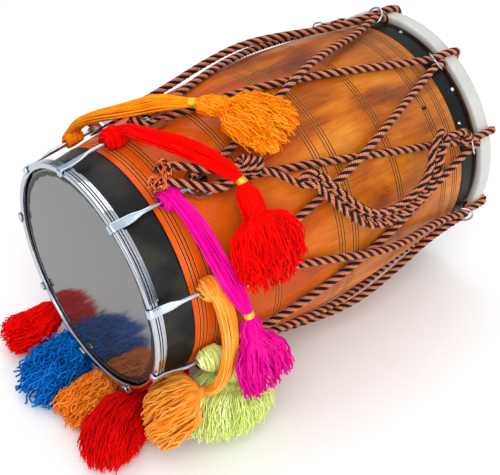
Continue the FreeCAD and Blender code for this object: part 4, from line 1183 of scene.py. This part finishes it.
def openStrands(name, tip, away, random):
    # the rope's strands past its end, each bent outwards more the farther it runs
    count = fray["strandCount"]
    side = unit(np.cross(away, [0.0, 0.0, 1.0]))
    turn = 2 * np.pi * (np.arange(count) + 0.5 * random.random(count)) / count
    outward = np.cos(turn)[:, None] * side + np.sin(turn)[:, None] * np.cross(side, away)
    s = np.linspace(0, 1, 12)[None, :, None]
    reach, bend = (
        least + more * random.random((count, 1, 1))
        for least, more in (fray["strandReach"], fray["strandBend"]))
    paths = tip - away * fray["strandDepth"] + away * reach * s * (1.3 - 0.8 * s)
    paths = paths + outward[:, None] * (fray["rootSpread"] + bend * s ** 1.4)
    paths = paths + random.normal(size=(count, 1, 3)) * s * fray["strandSpread"]
    size = np.linspace(*fray["strandRadii"], 12)[None]
    addYarns(name + "Black", paths[::2], ropeBlack, size, 8)
    return addYarns(name + "Orange", paths[1::2], orangeFibre, size, 8)


def makeRopeEnds():
    # each end is a stretch of rope with open strands, curled yarns and short fibres at its tip
    random = np.random.default_rng(7)
    for number, values in enumerate(ropeEnds):
        points = [tuple(onDrum(*point)) for point in values["route"]]
        line = smoothLine(points, chain["ropeStep"])
        addRope(f"ropeEnd{number}", laidStrands(line), body="root", stands=["rope_ends"])
        tip = np.array(points[0])
        away = unit(tip - np.array(points[1]))
        openStrands(f"openEnd{number}", tip, away, random)
        finishes = (("black", "black", ropeBlack), ("salmon", "orange", orangeFibre))
        for name, colour, finish in finishes:
            count, reach = values[colour + "Curls"], fray[colour + "CurlReach"]
            crumpledYarns(f"{name}Curls{number}", tip, finish, random, count, reach)
        for name, colour, finish in finishes:
            frayedEnd(f"{name}Fray{number}", tip, away, finish, random, values[colour + "Fibres"])


makeChain()
for values in ropeKnots:
    wrapRound(*values)
makeRopeEnds()
print("chain and ends ready")

# Studio: pale floor, soft lights and the camera at the photograph's angle

studio = {
    "azimuth": -39.587,
    "elevation": 37.457,
    "distance": 1.542,
    "target": (0.296, 0.0, 0.0),
    "focalPixels": 1063.75,
    "pictureWidth": 500,
    "shift": (-8.324, -45.564),
    "skyStrength": 0.9,
    "floorSize": 6000.0,
    "sensorWidth": 36.0,
}
lamps = [  # name, place and width in m, power in W
    ("keyLight", (-0.9, -1.4, 2.2), 1.4, 25),
    ("topLight", (0.6, 0.9, 2.3), 1.6, 12),
    ("fillLight", (-0.3, -2.2, 0.6), 1.6, 19),
    ("rearLight", (1.8, -1.6, 0.9), 1.6, 3),
]


def makeWorld():
    # soft surroundings, pale blue above and grey at the horizon; the camera sees white
    world = bpy.data.worlds.new("studioWorld")
    bpy.context.scene.world = world
    world.use_nodes = True
    world.node_tree.nodes.clear()
    direction = addNode(world, "TexCoord").outputs["Generated"]
    height = addNode(world, "SeparateXYZ", {"Vector": direction}).outputs["Z"]
    sky = addNode(world, "ValToRGB", {"Fac": height}, [
        (0.0, "#77777A"), (0.12, "#9698A0"), (0.35, "#D0D8E4"), (0.6, "#FFFFFF")])
    seen = addNode(world, "LightPath").outputs["Is Camera Ray"]
    colour = addNode(world, "Mix", {0: seen, 6: sky, 7: "#FFFFFF"}, data_type="RGBA")
    strength = addNode(world, "MapRange", {0: seen, 3: studio["skyStrength"], 4: 1.0})
    background = addNode(world, "Background", {"Color": colour, "Strength": strength})
    addNode(world, "OutputWorld", {"Surface": background})


def makeStudio():
    # a flat pale floor, four soft lamps, and the camera turned towards its target
    floorMaterial = plainFinish("paleFloor", "#FAFAFA", 0.0, 0.9)
    size, z = studio["floorSize"], floorLevel
    corners = [(-size, -size, z), (size, -size, z), (size, size, z), (-size, size, z)]
    floor = addMesh("studioFloor", corners, [[0, 1, 2, 3]], [floorMaterial], body=None)
    makeWorld()
    for name, place, width, power in lamps:
        light = bpy.data.lights.new(name, "AREA")
        light.size = width
        light.energy = power
        lamp = bpy.data.objects.new(name, light)
        lamp.location = place
        aim = Vector(studio["target"]) - Vector(place)
        lamp.rotation_euler = aim.to_track_quat("-Z", "Y").to_euler()
        bpy.context.scene.collection.objects.link(lamp)
    azimuth, elevation = math.radians(studio["azimuth"]), math.radians(studio["elevation"])
    level = math.cos(elevation)
    back = Vector((math.sin(azimuth) * level, -math.cos(azimuth) * level, math.sin(elevation)))
    lens = bpy.data.cameras.new("camera")
    lens.sensor_width = studio["sensorWidth"]
    lens.lens = studio["focalPixels"] / studio["pictureWidth"] * lens.sensor_width
    lens.shift_x = studio["shift"][0] / studio["pictureWidth"]
    lens.shift_y = studio["shift"][1] / studio["pictureWidth"]
    camera = bpy.data.objects.new("camera", lens)
    camera.location = Vector(studio["target"]) + back * studio["distance"]
    camera.rotation_euler = (-back).to_track_quat("-Z", "Y").to_euler()
    bpy.context.scene.collection.objects.link(camera)
    bpy.context.scene.camera = camera
    bpy.context.scene.view_settings.view_transform = "Standard"


makeStudio()
